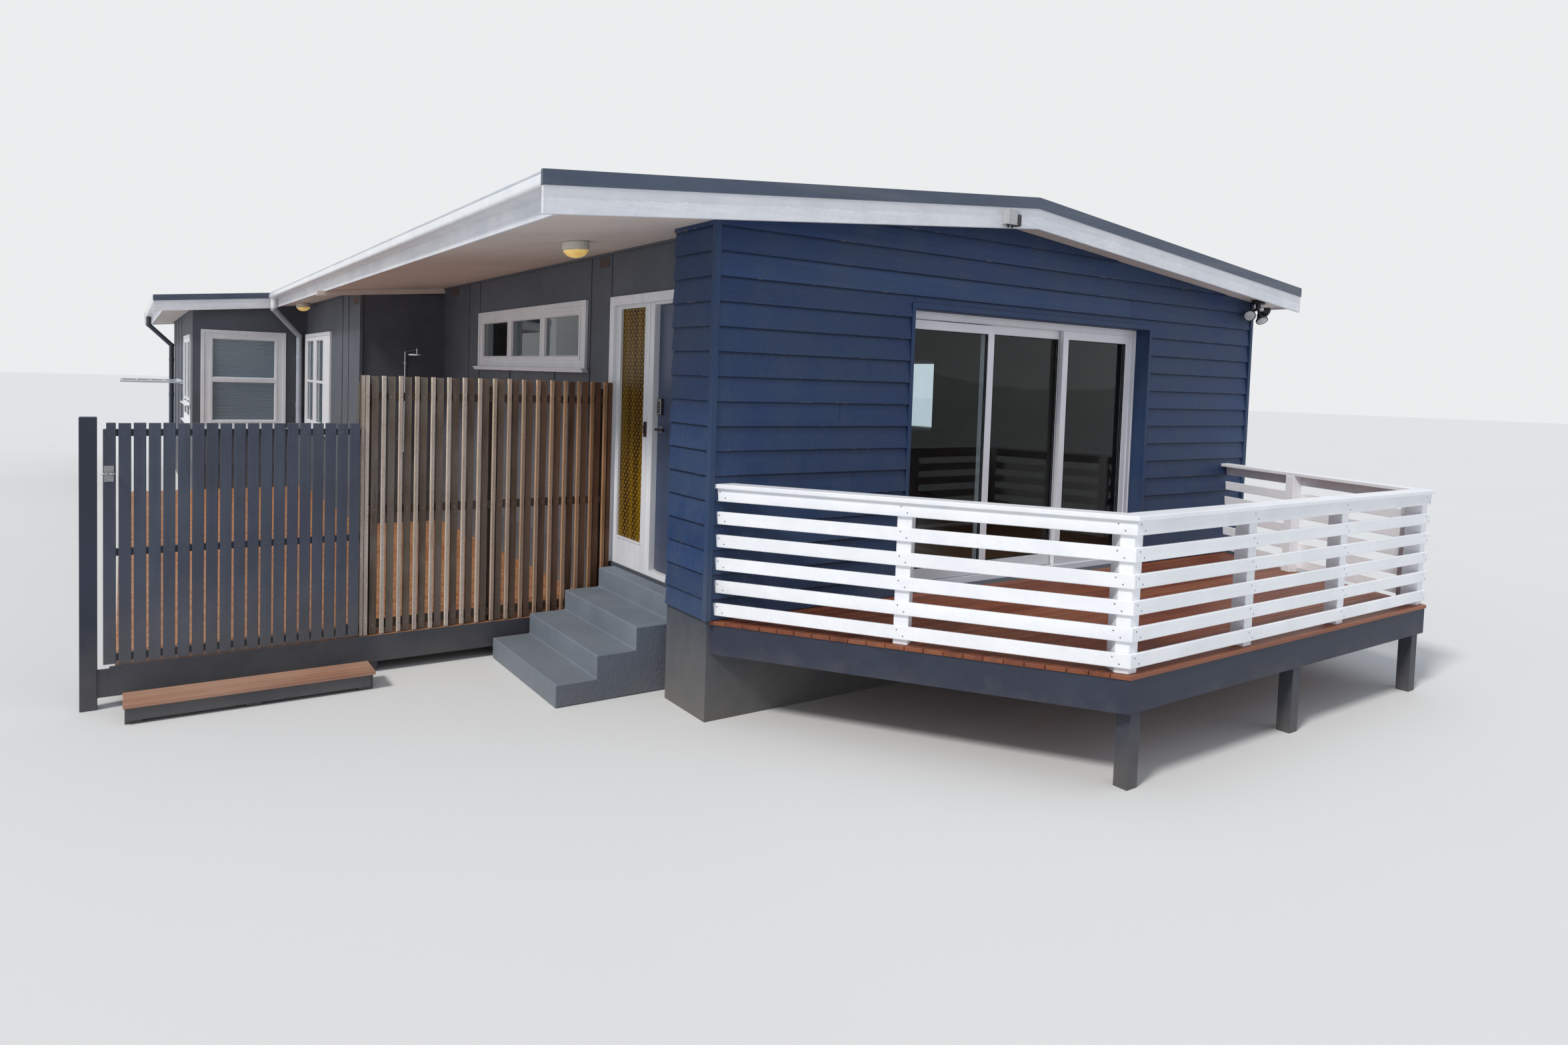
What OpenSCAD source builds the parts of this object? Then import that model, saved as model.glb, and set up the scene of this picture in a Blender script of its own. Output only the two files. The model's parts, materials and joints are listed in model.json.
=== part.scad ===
/* [Plan] */
// Width of the front gable wall
wall_w = 6060; // [5400:10:6800]
// Length of the house from the front wall to the back wall
house_len = 18200; // [15000:10:21000]
// Length of the short return wall beside the entry
return_len = 540; // [480:10:700]
// Setback of the entry wall from the front corner
entry_x = 280; // [240:10:340]
// End of the entry wall, from the front
entry_end = 7230; // [6700:10:7800]
// Step out of the side wall past the front corner
side_out = 695; // [500:5:900]
// End of the side wall, from the front
side_end = 11530; // [11000:10:12200]
// Step out of the rear wing past the front corner
wing_out = 2200; // [1900:10:2500]
// Thickness of the outer walls
wall_t = 160; // [140:5:200]

/* [Levels] */
// Top of the base walls, where the wall boards start
base_top = 650; // [620:5:680]
// Top of the house floor
floor_top = 700; // [690:5:730]

/* [Roof] */
// Rise of the roof for each unit of run
roof_rise = 0.095; // [0.08:0.005:0.12]
// Height of the capping at the ridge
ridge_top = 3638; // [3500:1:3800]
// Left eave overhang past the front corner
eave_left = 1225; // [1100:5:1350]
// Right eave overhang past the right wall
eave_right_out = 469; // [400:1:560]
// Eave overhang of the rear wing past its side wall
eave_wing = 500; // [400:10:600]
// Overhang of the gable ends
gable_out = 255; // [200:5:300]
// Setback of the wing's barge board from the wing's front wall
wing_gable_out = 150; // [100:10:200]
// Capping top down to the underside of the soffit
soffit_drop = 205; // [195:1:215]
// Thickness of the soffit lining
lining_t = 12; // [9:1:16]
// Capping top down to the bottom of the barge board
barge_drop = 237; // [230:1:245]
// Height of the metal capping on the barge boards
capping_h = 84; // [70:1:95]
// Height of the ribs of the roof sheets
rib_h = 20; // [16:1:24]
// Distance from rib to rib
rib_pitch = 190; // [170:5:205]
// Width of a rib at its foot
rib_w = 62; // [50:1:70]
// Thickness of the sheet metal
metal_t = 3; // [2:0.5:4]
// Thickness of barge and fascia boards
board_t = 25; // [20:1:32]

/* [Gutters] */
// Width of the gutters
gutter_w = 112; // [100:1:120]
// Height of the gutters
gutter_h = 92; // [85:1:100]
// Wall thickness of the gutters
gutter_t = 4; // [3:0.5:6]
// Overhang of the roof sheets into the gutters
sheet_over = 50; // [40:1:60]
// Diameter of the downpipes
pipe_d = 84; // [75:1:90]
// Gap between a downpipe and its wall
pipe_gap = 20; // [10:1:30]
// Length of the straight outlet under a gutter
outlet_h = 160; // [120:5:200]

/* [Sliding door] */
// Left side of the opening from the front corner
slider_x = 1650; // [1600:5:1700]
// Width of the opening
slider_w = 2786; // [2700:2:2860]
// Top of the opening
slider_top = 2745; // [2720:1:2770]
// Setback of the frame behind the boards
slider_in = 115; // [105:1:120]
// Depth of the frame
slider_depth = 100; // [96:1:110]
// Width of the frame members
slider_frame_w = 60; // [55:1:66]
// Width of each panel
panel_w = 915; // [890:1:930]
// Width of the panel stiles
stile_w = 68; // [60:1:75]
// Thickness of the panels
panel_t = 36; // [32:1:38]
// Clearance around moving pieces
move_gap = 6; // [5:0.5:8]
// Gap at rollers and hinge barrels
run_gap = 0.3; // [0.3:0.1:0.6]

/* [Entry door] */
// Height of the door leaf
leaf_h = 2035; // [2000:1:2070]
// Width of the door leaf
leaf_w = 815; // [790:1:825]
// Thickness of the door leaf
leaf_t = 40; // [35:1:44]
// Setback of the entry frame behind the wall face
entry_frame_in = 10; // [5:1:15]
// Setback of the leaf behind the wall face
leaf_in = 50; // [45:1:60]
// Width of the jamb at the hinges
jamb_w = 34; // [30:1:38]
// Width of the post between the door and the sidelight
mullion_w = 158; // [140:1:170]
// Width of the sidelight glass
sidelight_w = 440; // [400:5:460]
// Width of the jamb beside the sidelight
side_jamb_w = 130; // [110:1:140]

/* [Windows] */
// Width of the window trim on the wall face
trim_w = 62; // [50:1:75]
// Thickness of the trim in front of the wall face
trim_t = 20; // [15:1:30]
// Depth of the window frames
frame_d = 100; // [90:1:120]
// Bottom of the high window over the entry wall
high_sill = 2229; // [2100:1:2300]
// Top of the high window
high_head = 2837; // [2780:1:2860]
// Length of the high window
high_len = 3060; // [2800:10:3100]
// Distance of the high window from the end of the entry wall
high_back = 1510; // [1450:10:1700]
// Bottom of the side windows
side_sill = 1230; // [1100:10:1400]
// Top of the side windows
side_head = 2660; // [2500:10:2720]
// Length of the side wall's window
side_len = 2160; // [1900:10:2200]
// Bottom of the wing's front window
wing_sill = 1180; // [1050:10:1300]
// Top of the wing's front window
wing_head = 2670; // [2500:10:2720]
// Top of the windows in the wing side, right and back walls
far_head = 2600; // [2450:10:2650]
// Length of the windows in the wing side, right and back walls
far_len = 1800; // [1500:10:1900]
// Bottom of the windows in the right and back walls
far_sill = 1500; // [1300:10:1600]
// Thickness of the window glass
glass_t = 6; // [4:1:10]
// Setback of the window glass behind the wall face
glass_in = 4; // [2:1:30]

/* [Entry steps] */
// Height of each riser
riser = 157; // [150:1:165]
// Depth of each tread
going = 285; // [275:1:300]
// Landing edge from the front corner
landing_x = 133; // [110:1:150]
// Near end of the steps
step_near = 694; // [650:2:720]
// Far end of the steps
step_far = 1990; // [1960:5:2010]

/* [Front deck] */
// Depth of the deck in front of the house
deck_out = 2090; // [1900:10:2300]
// Left front corner of the deck
deck_left = 1440; // [1200:10:1700]
// Right front corner of the deck
deck_right = 5090; // [4800:10:5300]
// Right back corner of the deck
deck_back = 5830; // [5600:10:6000]
// Top of the deck boards
deck_top = 655; // [640:1:680]
// Thickness of the deck boards
plank_t = 25; // [19:1:32]
// Height of the deck beams
beam_h = 190; // [140:5:240]
// Top of the railing cap
cap_top = 1530; // [1500:5:1600]
// Width of the railing cap
cap_w = 125; // [100:5:150]
// Thickness of the railing cap
cap_t = 28; // [20:1:40]
// Height of the board under the cap
rail_fascia_h = 82; // [70:1:95]
// Height of the railing slats
slat_h = 80; // [70:1:90]
// Distance from slat to slat
slat_pitch = 146; // [130:1:155]
// Thickness of the slats
slat_t = 20; // [16:1:25]
// Number of slats under the fascia board
slats = 5; // [4:1:6]
// Width of the railing posts
post_w = 90; // [80:1:100]

/* [Side deck] */
// Front edge of the side deck from the front wall
side_deck_y = 2036; // [2010:2:2060]
// Left end of the picket gate
gate_left = 3150; // [2900:10:3300]
// Left end of the batten screen
screen_left = 1665; // [1500:5:1800]
// Top of the side deck boards
side_deck_top = 268; // [240:1:290]
// Top of the batten screen
screen_top = 2137; // [2000:1:2250]
// Number of battens standing on edge
battens = 17; // [15:1:19]
// Width of the battens on edge
batten_w = 26; // [22:1:30]
// Top of the picket gate
picket_top = 1797; // [1700:1:1850]
// Number of pickets
pickets = 19; // [17:1:21]
// Width of each picket
picket_w = 66; // [60:1:70]

/* [Fittings] */
// Diameter of the eave lights
light_d = 200; // [180:2:230]
// Diameter of the flood light's lamps
lamp_d = 108; // [95:1:115]
// Diameter of the shower rose
rose_d = 220; // [180:5:240]
// Height of the shower rose
rose_z = 2348; // [2200:1:2400]
// Diameter of the shower pipe
shower_pipe_d = 22; // [18:1:28]
// Height of the clothes line
line_z = 1820; // [1700:10:1900]
// Length of the clothes line
line_len = 2000; // [1800:10:2200]
// Reach of the clothes line from the wall
line_reach = 900; // [700:10:1000]
// Bar thickness of the clothes line
line_bar = 30; // [25:1:35]

/* [Hidden] */
$fn = 32;
// Hair gap that keeps flat faces from cutting into each other
seat = 0.2;

slider_r = slider_x + slider_w;
frame_y = slider_in;
track_a = frame_y + 7;
track_b = track_a + panel_t + 12;
panel_z = floor_top + move_gap;
panel_h = slider_top - slider_frame_w - move_gap - panel_z;
leaf_x = slider_x + slider_frame_w + move_gap;
fixed_x = slider_r - slider_frame_w - panel_w;
mid_x = leaf_x + panel_w - stile_w;
mid_w = fixed_x + stile_w - mid_x;
bottom_rail = 95;

door_y = return_len + jamb_w + move_gap;
door_far = door_y + leaf_w;
light_y = door_far + move_gap + mullion_w;
entry_frame_far = light_y + sidelight_w + side_jamb_w;
door_z = floor_top;
entry_top = door_z + leaf_h + move_gap + 24;
leaf_face = entry_x + leaf_in;
entry_frame_x = entry_x + entry_frame_in;
entry_frame_d = leaf_in + leaf_t - entry_frame_in;
hinge_x = leaf_face + leaf_t + 8;
hinge_y = door_y - move_gap / 2;
gate_right = screen_left + move_gap + 2;
gate_pin_x = -screen_left - (gate_right - screen_left) / 2;
gate_pin_y = side_deck_y + 61;

eave_right = wall_w + eave_right_out;
ridge_x = (eave_right - eave_left) / 2;
wing_eave = wing_out + eave_wing;
fascia_x = eave_left - gutter_w;
wing_fascia = wing_eave - gutter_w;
right_fascia = eave_right - gutter_w;
wing_gable = side_end - wing_gable_out;
roof_back = house_len + gable_out;
sheet_drop = 8;
deck_drop = sheet_drop + rib_h + metal_t + 2;
roof_tilt = atan(roof_rise);

screen_w = screen_left + entry_x - trim_t - 5;
batten_pitch = (screen_w - batten_w * 2 - 52) / (battens - 1);
screen_rails = [side_deck_top + 42, side_deck_top + 872, screen_top - 182];
gate_w = gate_left - gate_right;
picket_gap = (gate_w - pickets * picket_w) / (pickets - 1);
picket_z = side_deck_top + move_gap + 4;
side_deck_left = gate_left - 60;
pipe_off = pipe_d / 2 + pipe_gap;
corner_pipe = [-side_out - 95, side_end - pipe_off];
deck_beam_y = corner_pipe[1] - pipe_d / 2 - 20 - 45;
gate_hinge_z = [side_deck_top + 12, 1672];
base_z = side_deck_top - plank_t - beam_h + 20;

// Windows: face, side, start, end, low, high, columns, rows, edges, bar, upright edge, panel
high_win = [entry_x, -1, entry_end - high_back - high_len, entry_end - high_back, high_sill,
  high_head, 3, 1, 160, 127, 118];
side_win = [-side_out, -1, side_end - side_len - 170, side_end - 170, side_sill, side_head,
  2, 1, 130, 220, 110, 440];
wing_win = [side_end, -1, 94 - wing_out, -276 - side_out, wing_sill, wing_head, 1, 2, 150, 66,
  130];
back_side_win = [-wing_out, -1, side_end + 470, side_end + 470 + far_len, side_sill, far_head,
  2, 1, 130, 140, 110];
right_wins = [for (k = [0.23, 0.62]) [wall_w, 1, house_len * k, house_len * k + far_len, far_sill,
  far_head, 2, 1, 130, 140, 110]];
back_win = [house_len, 1, ridge_x - far_len / 2, ridge_x + far_len / 2, far_sill, far_head,
  2, 1, 130, 140, 110];

function roof_z(x) = ridge_top - roof_rise * abs(x - ridge_x);

function unit(v) = v / norm(v);

module along_y(y0, y1) {
  translate([0, y1, 0]) rotate([90, 0, 0]) linear_extrude(y1 - y0) children();
}

module slope(x0, x1, y0, y1, top, low) {
  along_y(y0, y1) polygon([[x0, roof_z(x0) - top], [x1, roof_z(x1) - top],
    [x1, roof_z(x1) - low], [x0, roof_z(x0) - low]]);
}

module box(x0, x1, y0, y1, z0, z1) {
  translate([x0, y0, z0]) cube([x1 - x0, y1 - y0, z1 - z0]);
}

module under_roof(x0, x1, y0, y1, z0) {
  head = soffit_drop + seat;
  mid = x0 < ridge_x && x1 > ridge_x ? [[ridge_x, ridge_top - head]] : [];
  along_y(y0, y1) polygon(concat([[x0, z0], [x0, roof_z(x0) - head]], mid,
    [[x1, roof_z(x1) - head], [x1, z0]]));
}

module plan() {
  polygon([[0, 0], [wall_w, 0], [wall_w, house_len], [-wing_out, house_len],
    [-wing_out, side_end], [-side_out, side_end], [-side_out, entry_end],
    [entry_x, entry_end], [entry_x, return_len], [0, return_len]]);
}

module window_hole_x(w) {
  box(w[0] - wall_t - 50, w[0] + wall_t + 50, w[2] + trim_w, w[3] - trim_w, w[4] + trim_w,
    w[5] - trim_w);
}

module window_hole_y(w) {
  box(w[2] + trim_w, w[3] - trim_w, w[0] - wall_t - 50, w[0] + wall_t + 50, w[4] + trim_w,
    w[5] - trim_w);
}

module foundation() color([0.2, 0.21, 0.23]) {
  linear_extrude(base_top) difference() {
    plan();
    offset(delta = -wall_t - 60) plan();
  }
}

module floor() color([0.55, 0.42, 0.3]) {
  translate([0, 0, base_top]) linear_extrude(floor_top - base_top)
    offset(delta = -wall_t) plan();
}

module front_wall_left() color([0.2, 0.26, 0.35]) {
  under_roof(0, slider_x, 0, wall_t, base_top);
}

module front_wall_right() color([0.2, 0.26, 0.35]) {
  under_roof(slider_r, wall_w, 0, wall_t, base_top);
}

module front_wall_head() color([0.2, 0.26, 0.35]) {
  under_roof(slider_x, slider_r, 0, wall_t, slider_top);
}

module return_wall() color([0.2, 0.26, 0.35]) {
  under_roof(0, wall_t, wall_t, return_len, base_top);
  under_roof(wall_t, entry_x + wall_t, return_len - wall_t, return_len, base_top);
}

module entry_wall_head() color([0.2, 0.26, 0.35]) {
  under_roof(entry_x, entry_x + wall_t, return_len, entry_frame_far, entry_top);
}

module entry_wall() color([0.22, 0.24, 0.28]) {
  difference() {
    under_roof(entry_x, entry_x + wall_t, entry_frame_far, entry_end, base_top);
    window_hole_x(high_win);
  }
}

module shower_wall() color([0.22, 0.24, 0.28]) {
  under_roof(-side_out, entry_x + wall_t, entry_end, entry_end + wall_t, base_top);
}

module side_wall() color([0.45, 0.48, 0.52]) {
  difference() {
    under_roof(-side_out, wall_t - side_out, entry_end + wall_t, side_end, base_top);
    window_hole_x(side_win);
  }
}

module wing_front_wall() color([0.16, 0.18, 0.22]) {
  difference() {
    under_roof(-wing_out, wall_t - side_out, side_end, side_end + wall_t, base_top);
    window_hole_y(wing_win);
  }
}

module wing_side_wall() color([0.4, 0.43, 0.45]) {
  difference() {
    under_roof(-wing_out, wall_t - wing_out, side_end + wall_t, house_len - wall_t, base_top);
    window_hole_x(back_side_win);
  }
}

module right_wall() color([0.3, 0.34, 0.4]) {
  difference() {
    under_roof(wall_w - wall_t, wall_w, wall_t, house_len - wall_t, base_top);
    for (w = right_wins) window_hole_x(w);
  }
}

module back_wall() color([0.3, 0.34, 0.4]) {
  difference() {
    under_roof(-wing_out, wall_w, house_len - wall_t, house_len, base_top);
    window_hole_y(back_win);
  }
}

module roof_layer(top, low) {
  y0 = -gable_out + board_t;
  y1 = roof_back - board_t;
  slope(-fascia_x + board_t, ridge_x, y0, y1, top, low);
  slope(ridge_x, right_fascia - board_t, y0, y1, top, low);
  slope(-wing_fascia + board_t, -fascia_x + board_t, wing_gable + board_t, y1, top, low);
}

module soffit_lining() color([0.85, 0.79, 0.76]) roof_layer(soffit_drop - lining_t, soffit_drop);

module roof_deck() color([0.6, 0.52, 0.42]) roof_layer(deck_drop, soffit_drop - lining_t);

// One run of ribbed sheet from the ridge at the origin down along +X
module sheet(run, y0, y1) {
  top = -sheet_drop - seat;
  pan = top - rib_h;
  m = metal_t;
  count = floor((y1 - y0 - rib_w) / rib_pitch) + 1;
  first = y0 + ((y1 - y0) - (count - 1) * rib_pitch) / 2;
  half = rib_w / 2;
  crown = rib_w / 4;
  upper = [for (k = [0:count - 1]) for (p = [[-half, pan], [-crown, top], [crown, top],
    [half, pan]]) [first + k * rib_pitch + p[0], p[1]]];
  lower = [for (k = [count - 1:-1:0]) for (p = [[half, pan - m], [crown - m / 2, top - m],
    [m / 2 - crown, top - m], [-half, pan - m]]) [first + k * rib_pitch + p[0], p[1]]];
  rotate([0, roof_tilt, 0]) translate([12, 0, 0]) rotate([90, 0, 90])
    linear_extrude(run / cos(roof_tilt) - 12)
    polygon(concat([[y0, pan]], upper, [[y1, pan], [y1, pan - m]], lower, [[y0, pan - m]]));
}

module roof_left() color([0.3, 0.35, 0.42]) {
  translate([ridge_x, 0, ridge_top]) mirror([1, 0, 0]) {
    sheet(ridge_x + fascia_x + sheet_over, -gable_out + 1, wing_gable - 1);
    sheet(ridge_x + wing_fascia + sheet_over, wing_gable + 1, roof_back - 1);
  }
}

module roof_right() color([0.3, 0.35, 0.42]) {
  translate([ridge_x, 0, ridge_top])
    sheet(right_fascia + sheet_over - ridge_x, -gable_out + 1, roof_back - 1);
}

// Layer under the top plane of one roof slope, over a shape drawn in plan
module roof_skin(side, low) {
  intersection() {
    translate([ridge_x, 0, ridge_top]) mirror([side < 0 ? 1 : 0, 0, 0])
      rotate([0, roof_tilt, 0]) translate([-100, -gable_out - 50, -low])
      cube([ridge_x + wing_eave + 200, roof_back + gable_out + 100, low]);
    linear_extrude(ridge_top + 50) children();
  }
}

// Capping of one barge board in plan, from the board's outer end towards the ridge
module cap_plan(g, lap) {
  translate([g[0], g[2]]) mirror([g[1] > 0 ? 1 : 0, 0]) mirror([0, g[3] > 0 ? 1 : 0]) {
    translate([-4, -4]) square([g[4] + 4, lap ? board_t + 4 : 4]);
    translate([-4, -4]) square([4, board_t + 4]);
    if (lap) translate([gutter_w, -4]) square([g[4] - gutter_w, 84]);
  }
}

module roof_caps() color([0.29, 0.34, 0.41]) {
  caps = [[-eave_left, -1, -gable_out, -1, ridge_x + eave_left],
    [-wing_eave, -1, roof_back, 1, ridge_x + wing_eave],
    [-wing_eave, -1, wing_gable, -1, wing_eave - fascia_x - sheet_over - 2],
    [eave_right, 1, -gable_out, -1, eave_right - ridge_x],
    [eave_right, 1, roof_back, 1, eave_right - ridge_x]];
  for (side = [-1, 1]) {
    roof_skin(side, capping_h) for (g = caps) if (g[1] == side) cap_plan(g, false);
    roof_skin(side, sheet_drop) {
      for (g = caps) if (g[1] == side) cap_plan(g, true);
      translate([side < 0 ? ridge_x - 150 : ridge_x, -gable_out])
        square([150, roof_back + gable_out]);
    }
  }
}

module barge_boards() color([0.9, 0.91, 0.93]) {
  for (g = [[-gable_out, eave_left], [roof_back - board_t, wing_eave]]) {
    slope(-g[1], ridge_x, g[0], g[0] + board_t, deck_drop, barge_drop);
    slope(ridge_x, eave_right, g[0], g[0] + board_t, deck_drop, barge_drop);
  }
  slope(-wing_eave, -fascia_x, wing_gable, wing_gable + board_t, deck_drop, barge_drop);
}

module fascia_boards() color([0.9, 0.91, 0.93]) {
  y1 = roof_back - board_t;
  low = soffit_drop + 18;
  slope(-fascia_x, -fascia_x + board_t, -gable_out + board_t, wing_gable + board_t, deck_drop,
    low);
  slope(-wing_fascia, -wing_fascia + board_t, wing_gable + board_t, y1, deck_drop, low);
  slope(right_fascia - board_t, right_fascia, -gable_out + board_t, y1, deck_drop, low);
}

// Outline of a gutter's skin, set in by t: flat bottom, round belly, cove and bead
function gutter_line(t) = concat([[-t, gutter_h * 0.66], [-t, t]],
  [for (a = [270:-15:180]) [-gutter_w + 28 + (28 - t) * cos(a), 28 + (28 - t) * sin(a)]],
  [[-gutter_w + t, gutter_h * 0.68], [-gutter_w + 10 + t, gutter_h * 0.76],
  [-gutter_w + 10 + t, gutter_h - 10]]);

module gutter(y0, y1) {
  bead = [[-gutter_w, gutter_h - 7], [-gutter_w, gutter_h - 1], [-gutter_w + 2, gutter_h],
    [-gutter_w + 10 + gutter_t, gutter_h]];
  inner = gutter_line(gutter_t);
  turned = [for (k = [len(inner) - 1:-1:0]) inner[k]];
  along_y(y0, y1) polygon(concat(gutter_line(0), bead, turned));
  for (y = [y0, y1 - gutter_t]) along_y(y, y + gutter_t)
    polygon(concat(gutter_line(0), [[-gutter_w + 10, gutter_h - 2],
      [-sheet_over - 4, gutter_h * 0.66]]));
}

module gutters() color([0.88, 0.9, 0.92]) {
  y0 = -gable_out + board_t + seat;
  y1 = roof_back - board_t - seat;
  translate([-fascia_x, 0, roof_z(-eave_left) - gutter_h]) gutter(y0, wing_gable - 6);
  translate([-wing_fascia, 0, roof_z(-wing_eave) - gutter_h])
    gutter(wing_gable + board_t + seat, y1);
  translate([right_fascia, 0, roof_z(eave_right) - gutter_h]) mirror([1, 0, 0]) gutter(y0, y1);
}

module pipe(a, b, d) {
  v = b - a;
  translate(a) rotate([0, acos(v[2] / norm(v)), atan2(v[1], v[0])]) cylinder(h = norm(v), d = d);
}

// Downpipe from a gutter's outlet, through two elbows, down its wall to the ground
module drop_pipe(outlet, wall, bend_z) {
  neck = [outlet[0], outlet[1], outlet[2] - outlet_h];
  bend = [wall[0], wall[1], bend_z];
  pipe(neck, outlet, pipe_d);
  translate(neck) sphere(d = pipe_d * 1.12);
  pipe(bend, neck, pipe_d);
  translate(bend) sphere(d = pipe_d * 1.12);
  pipe([wall[0], wall[1], 0], bend, pipe_d);
}

module downpipes() color([0.85, 0.87, 0.9]) {
  bend = soffit_drop + outlet_h + 320;
  y = house_len - 500;
  drop_pipe([-eave_left + gutter_w / 2, wing_gable - 110, roof_z(-eave_left) - gutter_h],
    corner_pipe, roof_z(-side_out) - bend);
  drop_pipe([-wing_eave + gutter_w / 2, y, roof_z(-wing_eave) - gutter_h],
    [-wing_out - pipe_off, y], roof_z(-wing_out) - bend);
  drop_pipe([eave_right - gutter_w / 2, y, roof_z(eave_right) - gutter_h],
    [wall_w + pipe_off, y], roof_z(wall_w) - bend);
}

module slider_frame() color([0.88, 0.9, 0.93]) {
  box(slider_x, slider_r, frame_y, wall_t, base_top, floor_top);
  along_y(frame_y, frame_y + slider_depth) difference() {
    polygon([[slider_x, floor_top], [slider_r, floor_top], [slider_r, slider_top],
      [slider_x, slider_top]]);
    polygon([[slider_x + slider_frame_w, floor_top - 10], [slider_r - slider_frame_w, floor_top - 10],
      [slider_r - slider_frame_w, slider_top - slider_frame_w],
      [slider_x + slider_frame_w, slider_top - slider_frame_w]]);
  }
  panel(mid_x, mid_w, track_b, floor_top, slider_top - slider_frame_w);
  panel(fixed_x, panel_w, track_a, floor_top, slider_top - slider_frame_w);
}

module panel(x, w, y, z0, z1) {
  difference() {
    box(x, x + w, y, y + panel_t, z0, z1);
    box(x + stile_w, x + w - stile_w, y - 10, y + panel_t + 10, z0 + bottom_rail,
      z1 - stile_w);
  }
}

module pane(x, w, y, z0, z1) {
  box(x + stile_w, x + w - stile_w, y + panel_t / 2 - glass_t / 2,
    y + panel_t / 2 + glass_t / 2, z0 + bottom_rail, z1 - stile_w);
}

module fixed_glass() color([0.5, 0.62, 0.7, 0.4]) {
  pane(mid_x, mid_w, track_b, floor_top, slider_top - slider_frame_w);
  pane(fixed_x, panel_w, track_a, floor_top, slider_top - slider_frame_w);
}

module slider_leaf() color([0.88, 0.9, 0.93]) {
  panel(leaf_x, panel_w, track_a, panel_z, panel_z + panel_h);
  for (x = [leaf_x + 90, leaf_x + panel_w - 150]) box(x, x + 60, track_a + 8,
    track_a + panel_t - 8, floor_top + run_gap, panel_z);
}

module slider_glass() color([0.5, 0.62, 0.7, 0.4]) {
  pane(leaf_x, panel_w, track_a, panel_z, panel_z + panel_h);
}

module slider_handle() color([0.5, 0.52, 0.55]) {
  along_y(track_a - 22, track_a) offset(r = 8) offset(delta = -8)
    translate([leaf_x + 16, 1600]) square([30, 160]);
}

module barrel(x, y, z, side) {
  translate([x, y, z]) cylinder(h = 45, d = 14);
  box(x - 8, x - 4, side < 0 ? y - 26 : y, side < 0 ? y : y + 26, z, z + 45);
}

module entry_frame() color([0.88, 0.9, 0.93]) {
  for (z = [200, leaf_h - 290]) barrel(hinge_x, hinge_y, door_z + z, -1);
  difference() {
    union() {
      box(entry_frame_x, entry_frame_x + entry_frame_d, return_len, entry_frame_far, base_top,
        entry_top);
      box(entry_x - trim_t, entry_x, return_len, entry_frame_far + 38, 2760, 2832);
      box(entry_x - trim_t, entry_x, entry_frame_far - 42, entry_frame_far + 38, base_top, 2760);
      box(entry_x - trim_t, entry_frame_x, entry_frame_far - 42, entry_frame_far, base_top, 2760);
    }
    box(entry_x - 50, entry_x + 200, door_y - move_gap, door_far + move_gap, door_z - move_gap,
      door_z + leaf_h + move_gap);
    box(entry_x - 50, entry_x + 200, light_y, light_y + sidelight_w, 880, entry_top - 35);
  }
}

module sidelight_glass() color([0.6, 0.42, 0.24, 0.5]) {
  x = entry_frame_x + 16;
  box(x, x + glass_t, light_y, light_y + sidelight_w, 880, entry_top - 35);
}

module door_leaf() color([0.42, 0.45, 0.5]) {
  box(leaf_face, leaf_face + leaf_t, door_y, door_far, door_z, door_z + leaf_h);
  for (z = [200, leaf_h - 290]) barrel(hinge_x, hinge_y, door_z + z + 45 + run_gap, 1);
}

module door_handle() color([0.7, 0.71, 0.73]) {
  y = door_far - 60;
  for (s = [-1, 1]) {
    x = s < 0 ? leaf_face : leaf_face + leaf_t;
    translate([x, y, 1790]) rotate([0, s * 90, 0]) cylinder(h = 10, d = 54);
    translate([x, y, 1790]) rotate([0, s * 90, 0]) cylinder(h = 52, d = 20);
    translate([x + s * 42, y + 10, 1790]) rotate([90, 0, 0]) cylinder(h = 125, d = 20);
  }
  box(leaf_face - 24, leaf_face, y - 33, y + 33, 1900, 2025);
}

module window_lights(w, x0, x1) {
  near = len(w) > 11 ? w[11] : 0;
  wide = (w[3] - w[2] - near - w[8] * 2 - w[9] * (w[6] - 1)) / w[6];
  tall = (w[5] - w[4] - w[10] * 2 - w[9] * (w[7] - 1)) / w[7];
  for (i = [0:w[6] - 1]) for (j = [0:w[7] - 1]) {
    y = w[2] + w[8] + near + i * (wide + w[9]);
    z = w[4] + w[10] + j * (tall + w[9]);
    box(x0, x1, y, y + wide, z, z + tall);
  }
}

module window_frame(w) {
  difference() {
    union() {
      box(0, trim_t, w[2], w[3], w[4], w[5]);
      box(-frame_d, 0, w[2] + trim_w, w[3] - trim_w, w[4] + trim_w, w[5] - trim_w);
      box(0, trim_t + 40, w[2] - 30, w[3] + 30, w[4] - 25, w[4]);
    }
    window_lights(w, -frame_d - 10, trim_t + 10);
  }
}

module face_x(w) {
  translate([w[0], 0, 0]) mirror([w[1] < 0 ? 1 : 0, 0, 0]) children();
}

module face_y(w) {
  translate([0, w[0], 0]) mirror([0, w[1] < 0 ? 1 : 0, 0]) mirror([1, -1, 0]) children();
}

module high_window() color([0.9, 0.92, 0.94]) face_x(high_win) window_frame(high_win);

module wing_window() color([0.9, 0.92, 0.94]) face_y(wing_win) window_frame(wing_win);

module side_windows() color([0.9, 0.92, 0.94]) {
  face_x(side_win) window_frame(side_win);
  face_x(back_side_win) window_frame(back_side_win);
}

module far_windows() color([0.9, 0.92, 0.94]) {
  for (w = right_wins) face_x(w) window_frame(w);
  face_y(back_win) window_frame(back_win);
}

module window_glass() color([0.5, 0.62, 0.7, 0.4]) {
  for (w = concat([high_win, side_win, back_side_win], right_wins))
    face_x(w) window_lights(w, -glass_in - glass_t, -glass_in);
  for (w = [wing_win, back_win]) face_y(w) window_lights(w, -glass_in - glass_t, -glass_in);
}

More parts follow.
